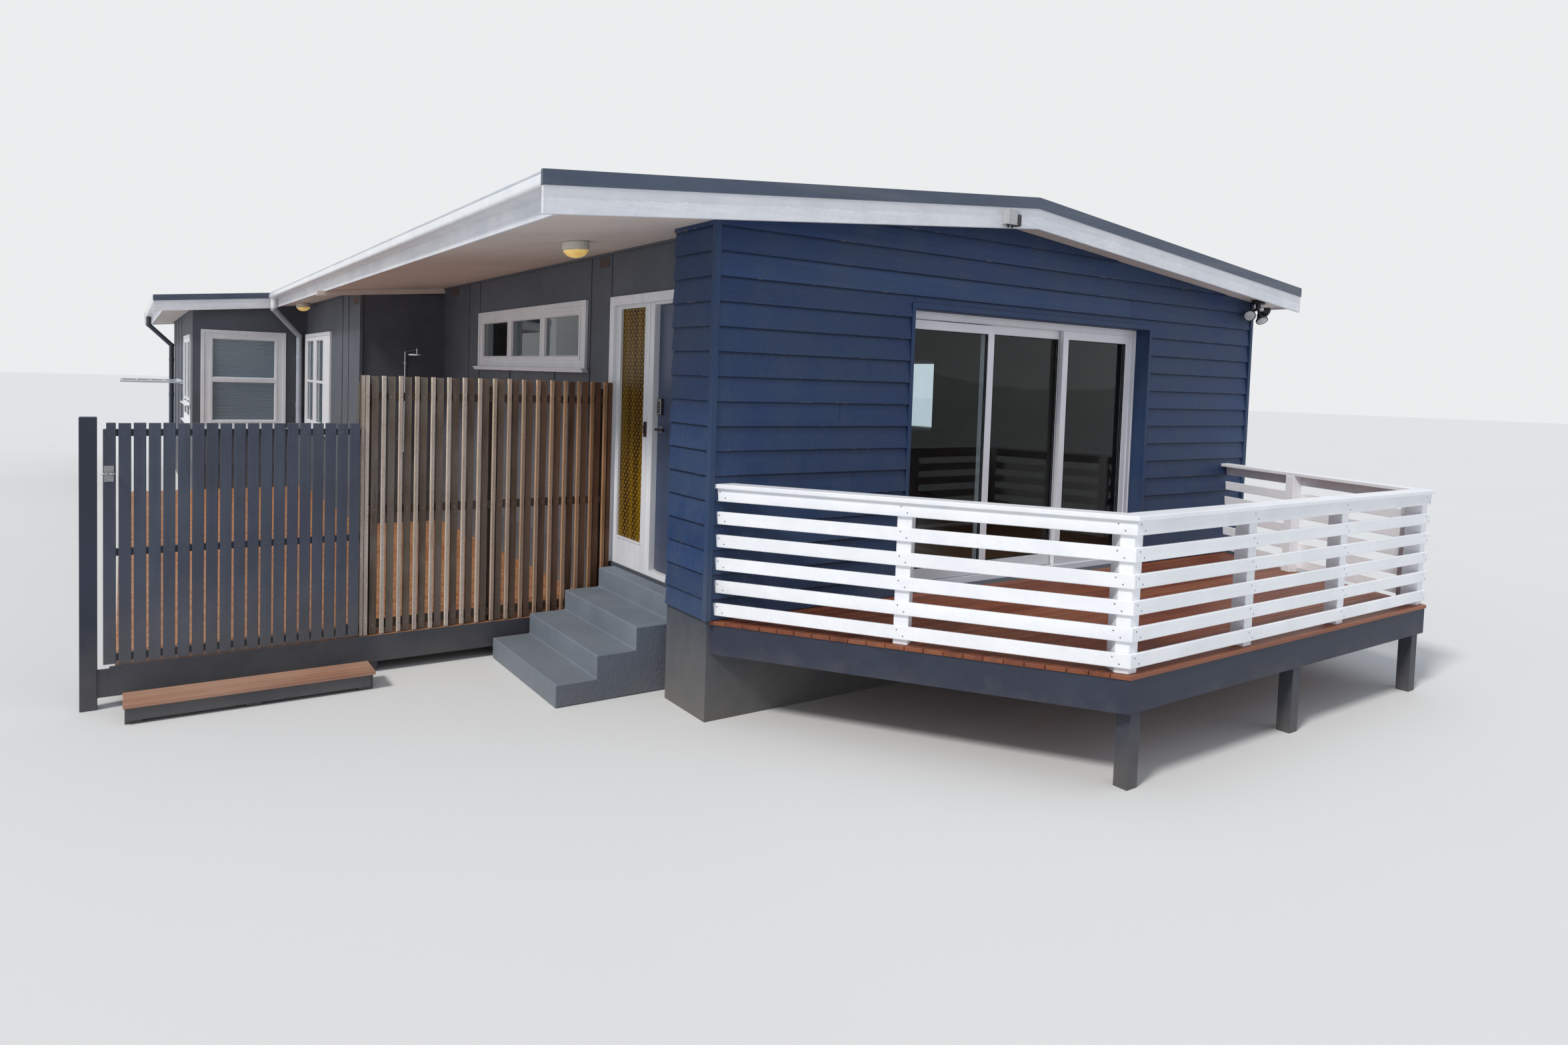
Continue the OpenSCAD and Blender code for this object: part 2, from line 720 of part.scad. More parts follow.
module entry_steps() color([0.34, 0.36, 0.39]) {
  x = landing_x;
  end = entry_x;
  along_y(step_near, step_far) polygon([[x - going * 3, 0], [x - going * 3, riser],
    [x - going * 2, riser], [x - going * 2, riser * 2], [x - going, riser * 2],
    [x - going, riser * 3], [x, riser * 3], [x, riser * 4], [end, riser * 4], [end, 0]]);
  box(x, end, return_len, step_near, 0, riser * 4);
}

module deck_plan() {
  polygon([[0, 0], [deck_left, -deck_out], [deck_right, -deck_out], [deck_back, 0]]);
}

module deck_front() {
  translate([-500, -deck_out - 500]) square([deck_back + 1000, deck_out + 500]);
}

module deck_ring(out, depth) {
  intersection() {
    difference() {
      offset(delta = -out) deck_reach();
      offset(delta = -out - depth) deck_reach();
    }
    deck_front();
  }
}

module deck_reach() {
  s = deck_left / deck_out;
  t = (deck_back - deck_right) / deck_out;
  polygon([[-400 * s, 400], [deck_left, -deck_out], [deck_right, -deck_out],
    [deck_back + 400 * t, 400]]);
}

module deck_boards() color([0.45, 0.22, 0.14]) {
  translate([0, 0, deck_top - plank_t]) linear_extrude(plank_t) intersection() {
    offset(delta = -10) deck_reach();
    deck_front();
  }
}

module deck_frame() color([0.22, 0.23, 0.26]) {
  low = deck_top - plank_t - beam_h;
  translate([0, 0, low]) linear_extrude(beam_h) {
    deck_ring(20, 45);
    intersection() {
      offset(delta = -20) deck_reach();
      for (y = [0, -deck_out / 2]) translate([-500, y - 45]) square([deck_back + 1000, 45]);
      deck_front();
    }
  }
  linear_extrude(low) for (x = [deck_left + 60, (deck_left + deck_right) / 2 - 45,
    deck_right - 150]) translate([x, 40 - deck_out]) square(90);
}

module rail_post(x, y, turn, w) {
  intersection() {
    deck_ring(20 + slat_t, post_w);
    translate([x, y]) rotate(turn) square([w, 500], center = true);
  }
}

module rail_posts() color([0.9, 0.91, 0.93]) {
  left_turn = atan2(-deck_out, deck_left);
  right_turn = atan2(deck_out, deck_back - deck_right);
  translate([0, 0, deck_top]) linear_extrude(cap_top - cap_t - deck_top) {
    rail_post(deck_left * 0.49, -deck_out * 0.49, left_turn, post_w);
    rail_post(deck_left, -deck_out, left_turn / 2, 130);
    for (k = [0.33, 0.646]) rail_post(deck_left + (deck_right - deck_left) * k, -deck_out, 0,
      post_w);
    rail_post(deck_right, -deck_out, right_turn / 2, 130);
    rail_post(deck_back + (deck_right - deck_back) * 0.42, -deck_out * 0.42, right_turn, post_w);
  }
}

// Strip along one side of the railing, from its outer edge inwards
module side_strip(a, b, depth) {
  n = [unit(b - a)[1], -unit(b - a)[0]] * (a[0] < b[0] ? -1 : 1);
  polygon([a, b, b + n * depth, a + n * depth]);
}

module left_strip(depth) {
  a = [deck_left, -deck_out];
  side_strip(a + unit(a) * 200, [0, 0] - unit(a) * 400, depth);
}

module right_strip(depth) {
  a = [deck_right, -deck_out];
  d = unit([deck_back, 0] - a);
  side_strip([deck_back, 0] + d * 400, a - d * 200, depth);
}

module railing(side) {
  low = cap_top - cap_t - rail_fascia_h;
  boards = concat([[low, rail_fascia_h]], [for (k = [1:slats]) [low - slat_pitch * k, slat_h]]);
  depth = 20 + slat_t;
  for (b = boards) translate([0, 0, b[0]]) linear_extrude(b[1]) {
    if (side == "left") intersection() {
      deck_ring(20, slat_t);
      left_strip(depth);
    }
    if (side == "right") intersection() {
      deck_ring(20, slat_t);
      right_strip(depth);
    }
    if (side == "front") difference() {
      deck_ring(20, slat_t);
      left_strip(depth + 1);
      right_strip(depth + 1);
    }
  }
}

module left_railing() color([0.9, 0.91, 0.93]) railing("left");

module front_railing() color([0.9, 0.91, 0.93]) railing("front");

module right_railing() color([0.9, 0.91, 0.93]) railing("right");

// Point on the mitre of a railing corner, inwards from it
function mitre(p, a, b, d) = p + unit(unit(a - p) + unit(b - p)) * d;

module mitre_cut(p, a, b) {
  q = mitre(p, a, b, 400);
  r = mitre(p, a, b, -100);
  polygon([r - [0.2, 0], r + [0.2, 0], q + [0.2, 0], q - [0.2, 0]]);
}

module rail_cap() color([0.9, 0.91, 0.93]) {
  c = [[0, 0], [deck_left, -deck_out], [deck_right, -deck_out], [deck_back, 0]];
  translate([0, 0, cap_top - cap_t]) linear_extrude(cap_t) difference() {
    deck_ring(0, cap_w);
    mitre_cut(c[1], c[0], c[2]);
    mitre_cut(c[2], c[1], c[3]);
  }
}

module side_deck_plan() {
  y = side_deck_y + 10;
  polygon([[-side_deck_left, y], [entry_x, y], [entry_x, entry_end], [-side_out, entry_end],
    [-side_out, side_end], [-side_deck_left, side_end]]);
}

module side_deck() color([0.62, 0.34, 0.18]) {
  translate([0, 0, side_deck_top - plank_t]) linear_extrude(plank_t) difference() {
    side_deck_plan();
    translate(corner_pipe) circle(d = pipe_d + 12);
  }
}

module side_deck_frame() color([0.13, 0.14, 0.18]) {
  top = side_deck_top - plank_t;
  y = side_deck_y + 10;
  ends = [-side_deck_left, entry_x];
  box(-gate_left - 31, ends[1], y, y + 45, base_z, top);
  for (x = [ends[0], -screen_left, -side_out - 45]) box(x, x + 45, y + 45, deck_beam_y, base_z,
    top);
  box(ends[1] - 45, ends[1], y + 45, entry_end, base_z, top);
  box(ends[0], -side_out, deck_beam_y, deck_beam_y + 45, base_z, top);
  for (x = [ends[0] + 45, -screen_left + 45, ends[1] - 135]) box(x, x + 90, y + 45, y + 135, 0,
    top);
  for (x = [ends[0] + 45, -screen_left + 45, -side_out - 135])
    for (k = [0.55, 1]) box(x, x + 90, deck_beam_y * k - 90, deck_beam_y * k, 0, top);
  box(-gate_left - 121, -gate_left - 31, y - 6, y + 84, 0, picket_top + 33);
}

module gate_barrel(z, side) {
  translate([gate_pin_x, gate_pin_y, z]) cylinder(h = 40, d = 14);
  box(side < 0 ? gate_pin_x - 140 : gate_pin_x, side < 0 ? gate_pin_x : gate_pin_x + 40,
    gate_pin_y - 8, gate_pin_y - 4, z, z + 40);
}

module batten_screen() color([0.42, 0.34, 0.28]) {
  y = side_deck_y;
  for (z = gate_hinge_z) gate_barrel(z, 1);
  right = screen_w - screen_left;
  for (i = [0:battens]) {
    x = i < battens ? -screen_left + batten_w + 2 + i * batten_pitch : -screen_left;
    box(x, x + batten_w, y + 14, y + 48, side_deck_top + 2, screen_top);
    if (i < battens) box(x + batten_w + 14, min(x + batten_w + 62, right), y + 28, y + 48,
      side_deck_top + 2, screen_top - 4);
  }
  for (z = screen_rails) box(-screen_left + 12, right - 12, y + 48, y + 83, z, z + 60);
  for (x = [-screen_left, (right - screen_left) / 2 - 45, right - 90])
    box(x, x + 90, y + 83, y + 173, side_deck_top, screen_top - 60);
}

module picket_gate() color([0.24, 0.255, 0.285]) {
  y = side_deck_y;
  for (z = gate_hinge_z) gate_barrel(z + 40 + run_gap, -1);
  for (i = [0:pickets - 1]) {
    x = -gate_left + i * (picket_w + picket_gap);
    box(x, x + picket_w, y, y + 18, picket_z, picket_top);
  }
  for (z = [picket_z + 16, 960, 1712]) box(-gate_left, -gate_right, y + 18, y + 53, z, z + 44);
}

module timber_step() color([0.6, 0.35, 0.2]) {
  box(-gate_left + 100, -1632, 1640, 1900, 102, 130);
  for (y = [1652, 1868]) box(-gate_left + 110, -1660, y, y + 20, 22, 102);
  for (x = [-gate_left + 110, -2400, -1732]) box(x, x + 90, 1672, 1868, 0, 102);
}

// Round base under a soft-edged glass bowl
module eave_light() {
  r = light_d / 2 - 12;
  edge = 34;
  translate([0, 0, -30]) cylinder(h = 30 - seat, d = light_d);
  rotate_extrude() polygon(concat([[0, -30], [r, -30]],
    [for (a = [0:15:90]) [r - edge + edge * cos(a), -56 - edge * sin(a)]], [[0, -56 - edge]]));
}

module eave_lights() color([0.95, 0.85, 0.62]) {
  for (p = [[-359, 1420], [-side_out - 170, side_end - 960]])
    translate([p[0], p[1], roof_z(p[0]) - soffit_drop]) rotate([0, -roof_tilt, 0]) eave_light();
}

// Lamp with its glass at the origin, facing +Z
module lamp() {
  translate([0, 0, -14]) cylinder(h = 14, d = lamp_d);
  translate([0, 0, -60]) cylinder(h = 46.5, d1 = lamp_d * 0.5, d2 = lamp_d * 0.86);
  translate([0, 0, -80]) cylinder(h = 21, d = lamp_d * 0.4);
}

module flood_light() color([0.12, 0.12, 0.13]) {
  x = wall_w - 60;
  lamps = [[-88, 30, -150, 112, 215], [-30, -62, -196, 142, 245], [84, -38, -112, 118, 330]];
  translate([x, -125, roof_z(x) - soffit_drop]) {
    rotate([0, roof_tilt, 0]) translate([0, 0, -34]) cylinder(h = 34 - seat, d = 122);
    translate([0, 0, -96]) cylinder(h = 76, d = 46);
    for (l = lamps) {
      turn = [sin(l[3]) * cos(l[4]), sin(l[3]) * sin(l[4]), cos(l[3])];
      pipe([0, 0, -76], [l[0], l[1], l[2]] - turn * 76, 24);
      translate([l[0], l[1], l[2]]) rotate([0, l[3], l[4]]) lamp();
    }
  }
}

module fuse_box() color([0.72, 0.74, 0.76]) {
  x = ridge_x - 330;
  translate([x - 65, -gable_out - 60, 3390]) cube([130, 60, 108]);
}

module wall_vents() color([0.16, 0.17, 0.2]) {
  for (y = [2206, 6610]) box(entry_x - 12, entry_x, y, y + 225, 3090, 3165);
  box(-side_out - 12, -side_out, 7300, 7640, 2960, 3040);
}

module shower() color([0.75, 0.77, 0.8]) {
  x = -190;
  y = entry_end - 30;
  d = shower_pipe_d;
  for (z = [rose_z - 1048, rose_z - 98]) translate([x, y, z]) rotate([-90, 0, 0])
    cylinder(h = 30, d = d * 1.8);
  translate([x, y, rose_z - 1198]) cylinder(h = 1250, d = d);
  for (s = [-1, 1]) translate([x + s * 60, y + 30, rose_z - 1048]) rotate([90, 0, 0])
    cylinder(h = 62, d = d * 1.7);
  translate([x - 60, y, rose_z - 1048]) rotate([0, 90, 0]) cylinder(h = 120, d = d);
  pipe([x, y, rose_z + 42], [x + 60, y - 330, rose_z + 72], d - 2);
  translate([x + 60, y - 330, rose_z + 12]) cylinder(h = 70, d = d - 6);
  translate([x + 60, y - 330, rose_z]) cylinder(h = 14, d = rose_d);
}

module clothes_line() color([0.6, 0.62, 0.65]) {
  x = -wing_out - 40;
  y0 = side_end + 2500;
  y1 = y0 + line_len;
  b = line_bar;
  box(x, -wing_out, y0, y1, line_z - b, line_z + b);
  for (y = [y0, y1 - b]) box(x - line_reach + 40, x, y, y + b, line_z - b / 2, line_z + b / 2);
  for (k = [1:4]) box(x - line_reach * k / 4.3, x - line_reach * k / 4.3 + 20, y0 + b, y1 - b,
    line_z - 8, line_z + 8);
}

foundation();
floor();
front_wall_left();
front_wall_right();
front_wall_head();
return_wall();
entry_wall_head();
entry_wall();
shower_wall();
side_wall();
wing_front_wall();
wing_side_wall();
right_wall();
back_wall();
soffit_lining();
roof_deck();
roof_left();
roof_right();
roof_caps();
barge_boards();
fascia_boards();
gutters();
downpipes();
slider_frame();
fixed_glass();
slider_leaf();
slider_glass();
slider_handle();
entry_frame();
sidelight_glass();
door_leaf();
door_handle();
high_window();
wing_window();
side_windows();
far_windows();
window_glass();
entry_steps();
deck_boards();
deck_frame();
rail_posts();
left_railing();
front_railing();
right_railing();
rail_cap();
side_deck();
side_deck_frame();
batten_screen();
picket_gate();
timber_step();
eave_lights();
flood_light();
fuse_box();
wall_vents();
shower();
clothes_line();
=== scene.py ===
import json
import math
import random

import bmesh
import bpy
from mathutils import Matrix, Vector

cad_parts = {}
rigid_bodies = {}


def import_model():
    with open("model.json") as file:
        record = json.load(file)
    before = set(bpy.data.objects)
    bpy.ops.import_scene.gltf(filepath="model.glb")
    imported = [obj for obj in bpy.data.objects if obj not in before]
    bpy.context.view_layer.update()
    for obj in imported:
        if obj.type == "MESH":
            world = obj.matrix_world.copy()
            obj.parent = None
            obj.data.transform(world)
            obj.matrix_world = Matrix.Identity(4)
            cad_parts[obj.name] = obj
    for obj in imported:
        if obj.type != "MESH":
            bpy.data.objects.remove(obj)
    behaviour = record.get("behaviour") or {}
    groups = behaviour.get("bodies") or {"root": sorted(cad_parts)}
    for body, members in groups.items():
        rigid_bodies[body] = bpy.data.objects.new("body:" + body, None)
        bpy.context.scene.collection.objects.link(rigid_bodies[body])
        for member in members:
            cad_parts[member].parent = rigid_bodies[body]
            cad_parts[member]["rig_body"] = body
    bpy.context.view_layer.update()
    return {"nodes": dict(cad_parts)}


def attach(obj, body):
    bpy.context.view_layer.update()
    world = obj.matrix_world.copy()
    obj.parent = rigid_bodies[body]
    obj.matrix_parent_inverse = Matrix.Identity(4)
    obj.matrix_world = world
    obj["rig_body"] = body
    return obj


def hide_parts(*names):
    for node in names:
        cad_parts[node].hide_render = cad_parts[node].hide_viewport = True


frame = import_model()
nodes = frame["nodes"]
scene = bpy.context.scene
print("stage: frame loaded")

# lines of the house that several pieces share, in metres
roofLine = {"ridgeX": 2.652, "ridgeTop": 3.638, "slope": 0.095}
liningDrop = 0.205                                        # roof's top plane to the eave lining
entryX, sideX, wingX, rightX = 0.28, -0.695, -2.2, 6.06   # outer faces of the long walls
showerY, wingY, backY = 7.23, 11.53, 18.2                 # outer faces of the cross walls
wallFoot, floorTop = 0.66, 0.7
sliderLeft, sliderRight, sliderTop = 1.65, 4.436, 2.745   # opening of the sliding door


# small tools for node trees

def rgb(red, green, blue):
    # colour picked on screen, made linear for the shaders
    def line(v):
        v = v / 255
        return v / 12.92 if v <= 0.04045 else ((v + 0.055) / 1.055) ** 2.4
    return (line(red), line(green), line(blue), 1.0)


def feed(node, values):
    # link what comes from a socket, and set what is a plain value
    for key, value in values.items():
        if isinstance(value, bpy.types.NodeSocket):
            node.id_data.links.new(value, node.inputs[key])
        else:
            node.inputs[key].default_value = value


def put(kind, inputs, out=0, tree=None, **settings):
    # new node, in the tree of the sockets that feed it unless one is given; it is read at one
    # of its outputs, or at all of them when out is None
    fed = [value for value in inputs.values() if isinstance(value, bpy.types.NodeSocket)]
    node = (tree or fed[0].id_data).nodes.new(kind)
    for key, value in settings.items():
        setattr(node, key, value)
    feed(node, inputs)
    return node.outputs if out is None else node.outputs[out]


def calc(operation, a, b=0.0, c=0.0, clamp=False):
    return put("ShaderNodeMath", {0: a, 1: b, 2: c}, operation=operation, use_clamp=clamp)


def times(a, b):
    return calc("MULTIPLY", a, b)


def timesPlus(a, b, c):
    return calc("MULTIPLY_ADD", a, b, c)


def minus(a, b):
    return calc("SUBTRACT", a, b)


def vec(operation, a, b):
    return put("ShaderNodeVectorMath", {0: a, 1: b}, operation=operation)


def xyz(x=0.0, y=0.0, z=0.0):
    return put("ShaderNodeCombineXYZ", {0: x, 1: y, 2: z})


def part(place, axis):
    return put("ShaderNodeSeparateXYZ", {0: place}, axis)


def ramp(value, low, high, toLow=0.0, toHigh=1.0, how="SMOOTHSTEP"):
    return put("ShaderNodeMapRange", {0: value, 1: low, 2: high, 3: toLow, 4: toHigh},
               interpolation_type=how)


def noise(place, scale, detail=2.0, rough=0.5, warp=0.0):
    return put("ShaderNodeTexNoise", {"Vector": place, "Scale": scale, "Detail": detail,
                                      "Roughness": rough, "Distortion": warp})


def blendColor(amount, a, b, how="MIX"):
    return put("ShaderNodeMix", {0: amount, 6: a, 7: b}, 2, data_type="RGBA", blend_type=how)


def tinted(color, factor):
    grey = put("ShaderNodeCombineXYZ", {0: factor, 1: factor, 2: factor}, tree=color.id_data)
    return vec("MULTIPLY", color, grey)


socketKinds = {"Geometry": "NodeSocketGeometry", "Material": "NodeSocketMaterial",
               int: "NodeSocketInt", float: "NodeSocketFloat", tuple: "NodeSocketVector"}


def newGroup(name, kind, inputs, outputs):
    # the two ends of a new node group; a socket's kind comes from its name or its value
    tree = bpy.data.node_groups.new(name, kind)
    for label, value in inputs.items():
        kindName = socketKinds.get(label) or socketKinds[type(value)]
        socket = tree.interface.new_socket(label, in_out="INPUT", socket_type=kindName)
        if value is not None:
            socket.default_value = value
    for label in outputs:
        tree.interface.new_socket(label, in_out="OUTPUT",
                                  socket_type=socketKinds.get(label, "NodeSocketFloat"))
    return tree.nodes.new("NodeGroupInput").outputs, tree.nodes.new("NodeGroupOutput")


def closeGroup(end, outputs):
    feed(end, outputs)
    return end.id_data


# shared surface effects

atOrigin = (0.0, 0.0, 0.0)


def makeGrainGroup():
    # long fibres along one axis: stretch is small along the grain
    given, end = newGroup("timberGrain", "ShaderNodeTree", {
        "Vector": atOrigin, "Stretch": (1, 1, 1), "Scale": 30.0, "Shift": 0.0},
        ("Figure", "Fibre"))
    shift = xyz(*[times(given["Shift"], v) for v in (17.3, 9.1, 23.7)])
    place = vec("ADD", vec("MULTIPLY", given["Vector"], given["Stretch"]), shift)
    figure = noise(place, given["Scale"], 4.0, 0.62, 0.5)
    fibre = noise(place, times(given["Scale"], 5.0), 3.0, 0.7)
    return closeGroup(end, {"Figure": figure,
                            "Fibre": timesPlus(fibre, 0.6, times(figure, 0.4))})


def makeGrimeGroup():
    # splash and dust that fades upwards, broken up by noise
    given, end = newGroup("groundDust", "ShaderNodeTree", {
        "Vector": atOrigin, "Low": 0.0, "High": 0.6, "Amount": 0.5}, ("Mask",))
    cloud = minus(noise(given["Vector"], 3.5, 6.0, 0.65), 0.5)
    height = timesPlus(cloud, 0.7, part(given["Vector"], 2))
    fade = ramp(height, given["Low"], given["High"], 1.0, 0.0, "LINEAR")
    return closeGroup(end, {"Mask": calc("MULTIPLY", fade, given["Amount"], clamp=True)})


def makeFlakeGroup():
    # chipped and flaked spots of a paint film
    given, end = newGroup("paintFlakes", "ShaderNodeTree", {
        "Vector": atOrigin, "Scale": 14.0, "Amount": 0.3}, ("Mask", "Film"))
    patch = noise(given["Vector"], given["Scale"], 8.0, 0.7, 1.2)
    edge = minus(0.8, times(given["Amount"], 0.4))
    cells = put("ShaderNodeTexVoronoi", {
        "Vector": given["Vector"], "Scale": times(given["Scale"], 3.0)}, feature="F1")
    return closeGroup(end, {"Mask": ramp(minus(patch, edge), 0.0, 0.03),
                            "Film": timesPlus(patch, 1.0, times(cells, 0.35))})


def makePeelGroup():
    # fine roller and brush texture with soft large patches
    given, end = newGroup("paintTexture", "ShaderNodeTree", {
        "Vector": atOrigin, "Scale": 400.0}, ("Height", "Patches"))
    return closeGroup(end, {"Height": noise(given["Vector"], given["Scale"], 3.0),
                            "Patches": noise(given["Vector"], 2.3, 5.0, 0.6)})


grainGroup = makeGrainGroup()
grimeGroup = makeGrimeGroup()
flakeGroup = makeFlakeGroup()
peelGroup = makePeelGroup()


def effect(group, place, inputs):
    return put("ShaderNodeGroup", {"Vector": place, **inputs}, None, node_tree=group)


def dusted(place, base, look):
    mask = effect(grimeGroup, place, {"Low": look["dustLow"], "High": look["dustHigh"],
                                      "Amount": look["dust"]})["Mask"]
    return blendColor(mask, base, look["dustColor"])


def boardTone(shader, spread):
    # each board carries its own tone from 0 to 1
    tone = put("ShaderNodeAttribute", {}, "Fac", shader.id_data, attribute_name="tone")
    return timesPlus(tone, spread, 1 - spread / 2), tone


def startMaterial(name, look):
    material = bpy.data.materials.new(name)
    material.use_nodes = True
    material.diffuse_color = look["color"]
    shader = material.node_tree.nodes["Principled BSDF"]
    feed(shader, {"IOR": look.get("ior", 1.45), "Specular IOR Level": look.get("gloss", 0.5)})
    return shader, put("ShaderNodeTexCoord", {}, "Object", shader.id_data)


def endMaterial(shader, base, rough, height, bump, depth):
    normal = put("ShaderNodeBump", {"Strength": bump, "Distance": depth, "Height": height})
    feed(shader, {"Base Color": base, "Roughness": rough, "Normal": normal})


# kinds of finish; what a finish's dictionary leaves out comes from its kind's own

woodPaint = {"spread": 0.0, "streak": 0.05, "flakes": 0.2, "flakeSize": 14.0, "film": 0.4,
             "under": (150, 140, 130), "dust": 0.2, "dustLow": 0.1, "dustHigh": 1.0,
             "dustColor": (150, 140, 125), "ridges": 0.5, "bump": 0.35, "depth": 0.0015}


def paintedTimber(name, look):
    # paint on wood: grain telegraphs through, with patches, dust low down and worn spots
    shader, place = startMaterial(name, look)
    factor, tone = boardTone(shader, look["spread"])
    grain = effect(grainGroup, place, {"Stretch": look["stretch"], "Scale": 22.0, "Shift": tone})
    peel = effect(peelGroup, place, {"Scale": 260.0})
    flakes = effect(flakeGroup, place, {"Scale": look["flakeSize"], "Amount": look["flakes"]})
    base = blendColor(ramp(peel["Patches"], 0.35, 0.65), look["color"], look["second"])
    streak = ramp(grain["Figure"], 0.3, 0.7, 1 - look["streak"], 1 + look["streak"])
    base = dusted(place, tinted(base, times(factor, streak)), look)
    mask, thick = flakes["Mask"], look["film"]
    if "oldBand" in look:  # an older coat low on a sloped board is thick, with a torn edge; the strip above it, under the capping, is darker as painted shade
        run = calc("ABSOLUTE", minus(part(place, 0), roofLine["ridgeX"]))
        drop = minus(timesPlus(run, -roofLine["slope"], roofLine["ridgeTop"]), part(place, 2))
        torn = timesPlus(noise(place, 9.0, 7.0, 0.7), 0.05, drop)
        band = ramp(torn, look["oldBand"], look["oldBand"] + 0.004)
        # painted shade: above the old coat, under the capping, the paint is made 10% darker
        base = blendColor(band, tinted(base, 0.9), base)
        thick = timesPlus(band, thick, 0.15)
    if "lips" in look:  # wear keeps to the lower edge of each lapped board, and painted shade darkens the top of each board just under the next board's lip
        start, step, tall = look["lips"]
        share = calc("FRACT", calc("DIVIDE", minus(part(place, 2), start), step))
        mask = times(mask, ramp(share, tall, tall * 0.4))
        # painted shade: each board's face darkens towards the lip of the board above it
        base = tinted(base, ramp(share, 0.86, 0.98, 1.0, 0.6))
    base = blendColor(mask, base, look["under"])
    rough = timesPlus(peel["Patches"], 0.18, look["rough"] - 0.09)
    height = timesPlus(grain["Fibre"], look["ridges"], times(peel["Height"], 0.25))
    height = timesPlus(mask, -0.5, timesPlus(flakes["Film"], thick, height))
    endMaterial(shader, base, rough, height, look["bump"], look["depth"])


plainWood = {"spread": 0.5, "grain": 14.0, "patch": 1.7, "weather": 0.4, "checks": 0.4,
             "dark": (40, 26, 18), "bump": 0.6, "depth": 0.002}


def bareTimber(name, look):
    # weathered or oiled boards, each in its own shade
    shader, place = startMaterial(name, look)
    factor, tone = boardTone(shader, look["spread"])
    grain = effect(grainGroup, place, {"Stretch": look["stretch"], "Scale": look["grain"],
                                       "Shift": times(tone, 3.0)})
    wide = noise(place, look["patch"], 4.0)
    base = blendColor(ramp(grain["Figure"], 0.32, 0.7), look["color"], look["second"])
    if "laid" in look:  # boards of one width with a dark line at each joint
        share = calc("DIVIDE", part(place, 0), look["laid"])
        row = put("ShaderNodeTexWhiteNoise", {0: xyz(calc("FLOOR", share))})
        edge = calc("ABSOLUTE", minus(calc("FRACT", share), 0.5))
        factor = times(timesPlus(row, 0.35, 0.8), ramp(edge, 0.47, 0.49, 1.0, 0.25))
    base = tinted(base, factor)
    aged = ramp(timesPlus(tone, 0.35, wide), 0.45, 0.85)
    base = blendColor(times(aged, look["weather"]), base, look["bleached"])
    splits = ramp(grain["Fibre"], 0.56, 0.66)
    base = blendColor(times(splits, look["checks"]), base, look["dark"])
    if "shelter" in look:  # boards near the wall stay warmer and darker
        near, far, shade = look["shelter"]
        inner = ramp(timesPlus(wide, 0.5, part(place, 0)), near, far)
        base = blendColor(inner, base, shade, "MULTIPLY")
    relief = grain["Fibre"]
    if "sawn" in look:  # saw marks across the grain
        marks = noise(vec("MULTIPLY", place, (40.0, 40.0, look["sawn"])), 1.0, 3.0, 0.6)
        relief = timesPlus(marks, 2.0, relief)
        base = tinted(base, ramp(marks, 0.32, 0.62, 0.8, 1.06))
    endMaterial(shader, base, timesPlus(grain["Figure"], 0.2, look["rough"] - 0.1), relief,
                look["bump"], look["depth"])


flatPaint = {"speck": 0.0, "lump": 18.0, "lumps": 0.6, "dust": 0.25, "dustLow": 0.0,
             "dustHigh": 1.2, "dustColor": (140, 132, 120), "bump": 0.3, "depth": 0.002}


def sheetPaint(name, look):
    # rolled paint on flat sheet, render or concrete
    shader, place = startMaterial(name, look)
    peel = effect(peelGroup, place, {"Scale": 180.0})
    lumps = noise(place, look["lump"], 6.0, 0.6)
    base = blendColor(ramp(peel["Patches"], 0.3, 0.7), look["color"], look["second"])
    base = dusted(place, base, look)
    if look["speck"] > 0:
        spots = ramp(noise(place, 90.0, 5.0, 0.75), 0.58, 0.68)
        base = blendColor(times(spots, look["speck"]), base, rgb(150, 150, 148))
    height = timesPlus(lumps, look["lumps"], times(peel["Height"], 0.4))
    endMaterial(shader, base, timesPlus(lumps, 0.16, look["rough"] - 0.08), height, look["bump"],
                look["depth"])


coating = {"dust": 0.2, "metallic": 0.0}


def coatedMetal(name, look):
    # prefinished steel, powder coat or plastic, with faint streaks that run with the water
    shader, place = startMaterial(name, look)
    peel = effect(peelGroup, place, {"Scale": 500.0})
    streaks = effect(grainGroup, place, {"Stretch": look["stretch"], "Scale": 9.0, "Shift": 0.0})
    base = blendColor(ramp(peel["Patches"], 0.3, 0.7), look["color"], look["second"])
    streak = times(ramp(streaks["Figure"], 0.5, 0.8), look["dust"])
    base = blendColor(streak, base, rgb(150, 146, 140))
    feed(shader, {"Metallic": look["metallic"]})
    endMaterial(shader, base, timesPlus(streaks["Fibre"], 0.15, look["rough"] - 0.07),
                peel["Height"], 0.12, 0.0006)


def brightMetal(name, look):
    # bare metal, lightly brushed
    shader, place = startMaterial(name, look)
    brushed = effect(grainGroup, place, {"Stretch": look["stretch"], "Scale": 90.0,
                                         "Shift": 0.0})["Fibre"]
    base = blendColor(ramp(noise(place, 60.0, 4.0), 0.5, 0.75), look["color"], look["second"])
    feed(shader, {"Metallic": 1.0})
    endMaterial(shader, base, timesPlus(brushed, 0.25, look["rough"] - 0.12), brushed, 0.15,
                0.0004)


def paneGlass(name, look):
    shader, place = startMaterial(name, look)
    feed(shader, {"Transmission Weight": look["clear"]})
    haze = timesPlus(noise(place, 3.0, 5.0), look["haze"], look["rough"])
    endMaterial(shader, look["color"], haze, noise(place, 1.6, 1.0), 0.05, 0.01)


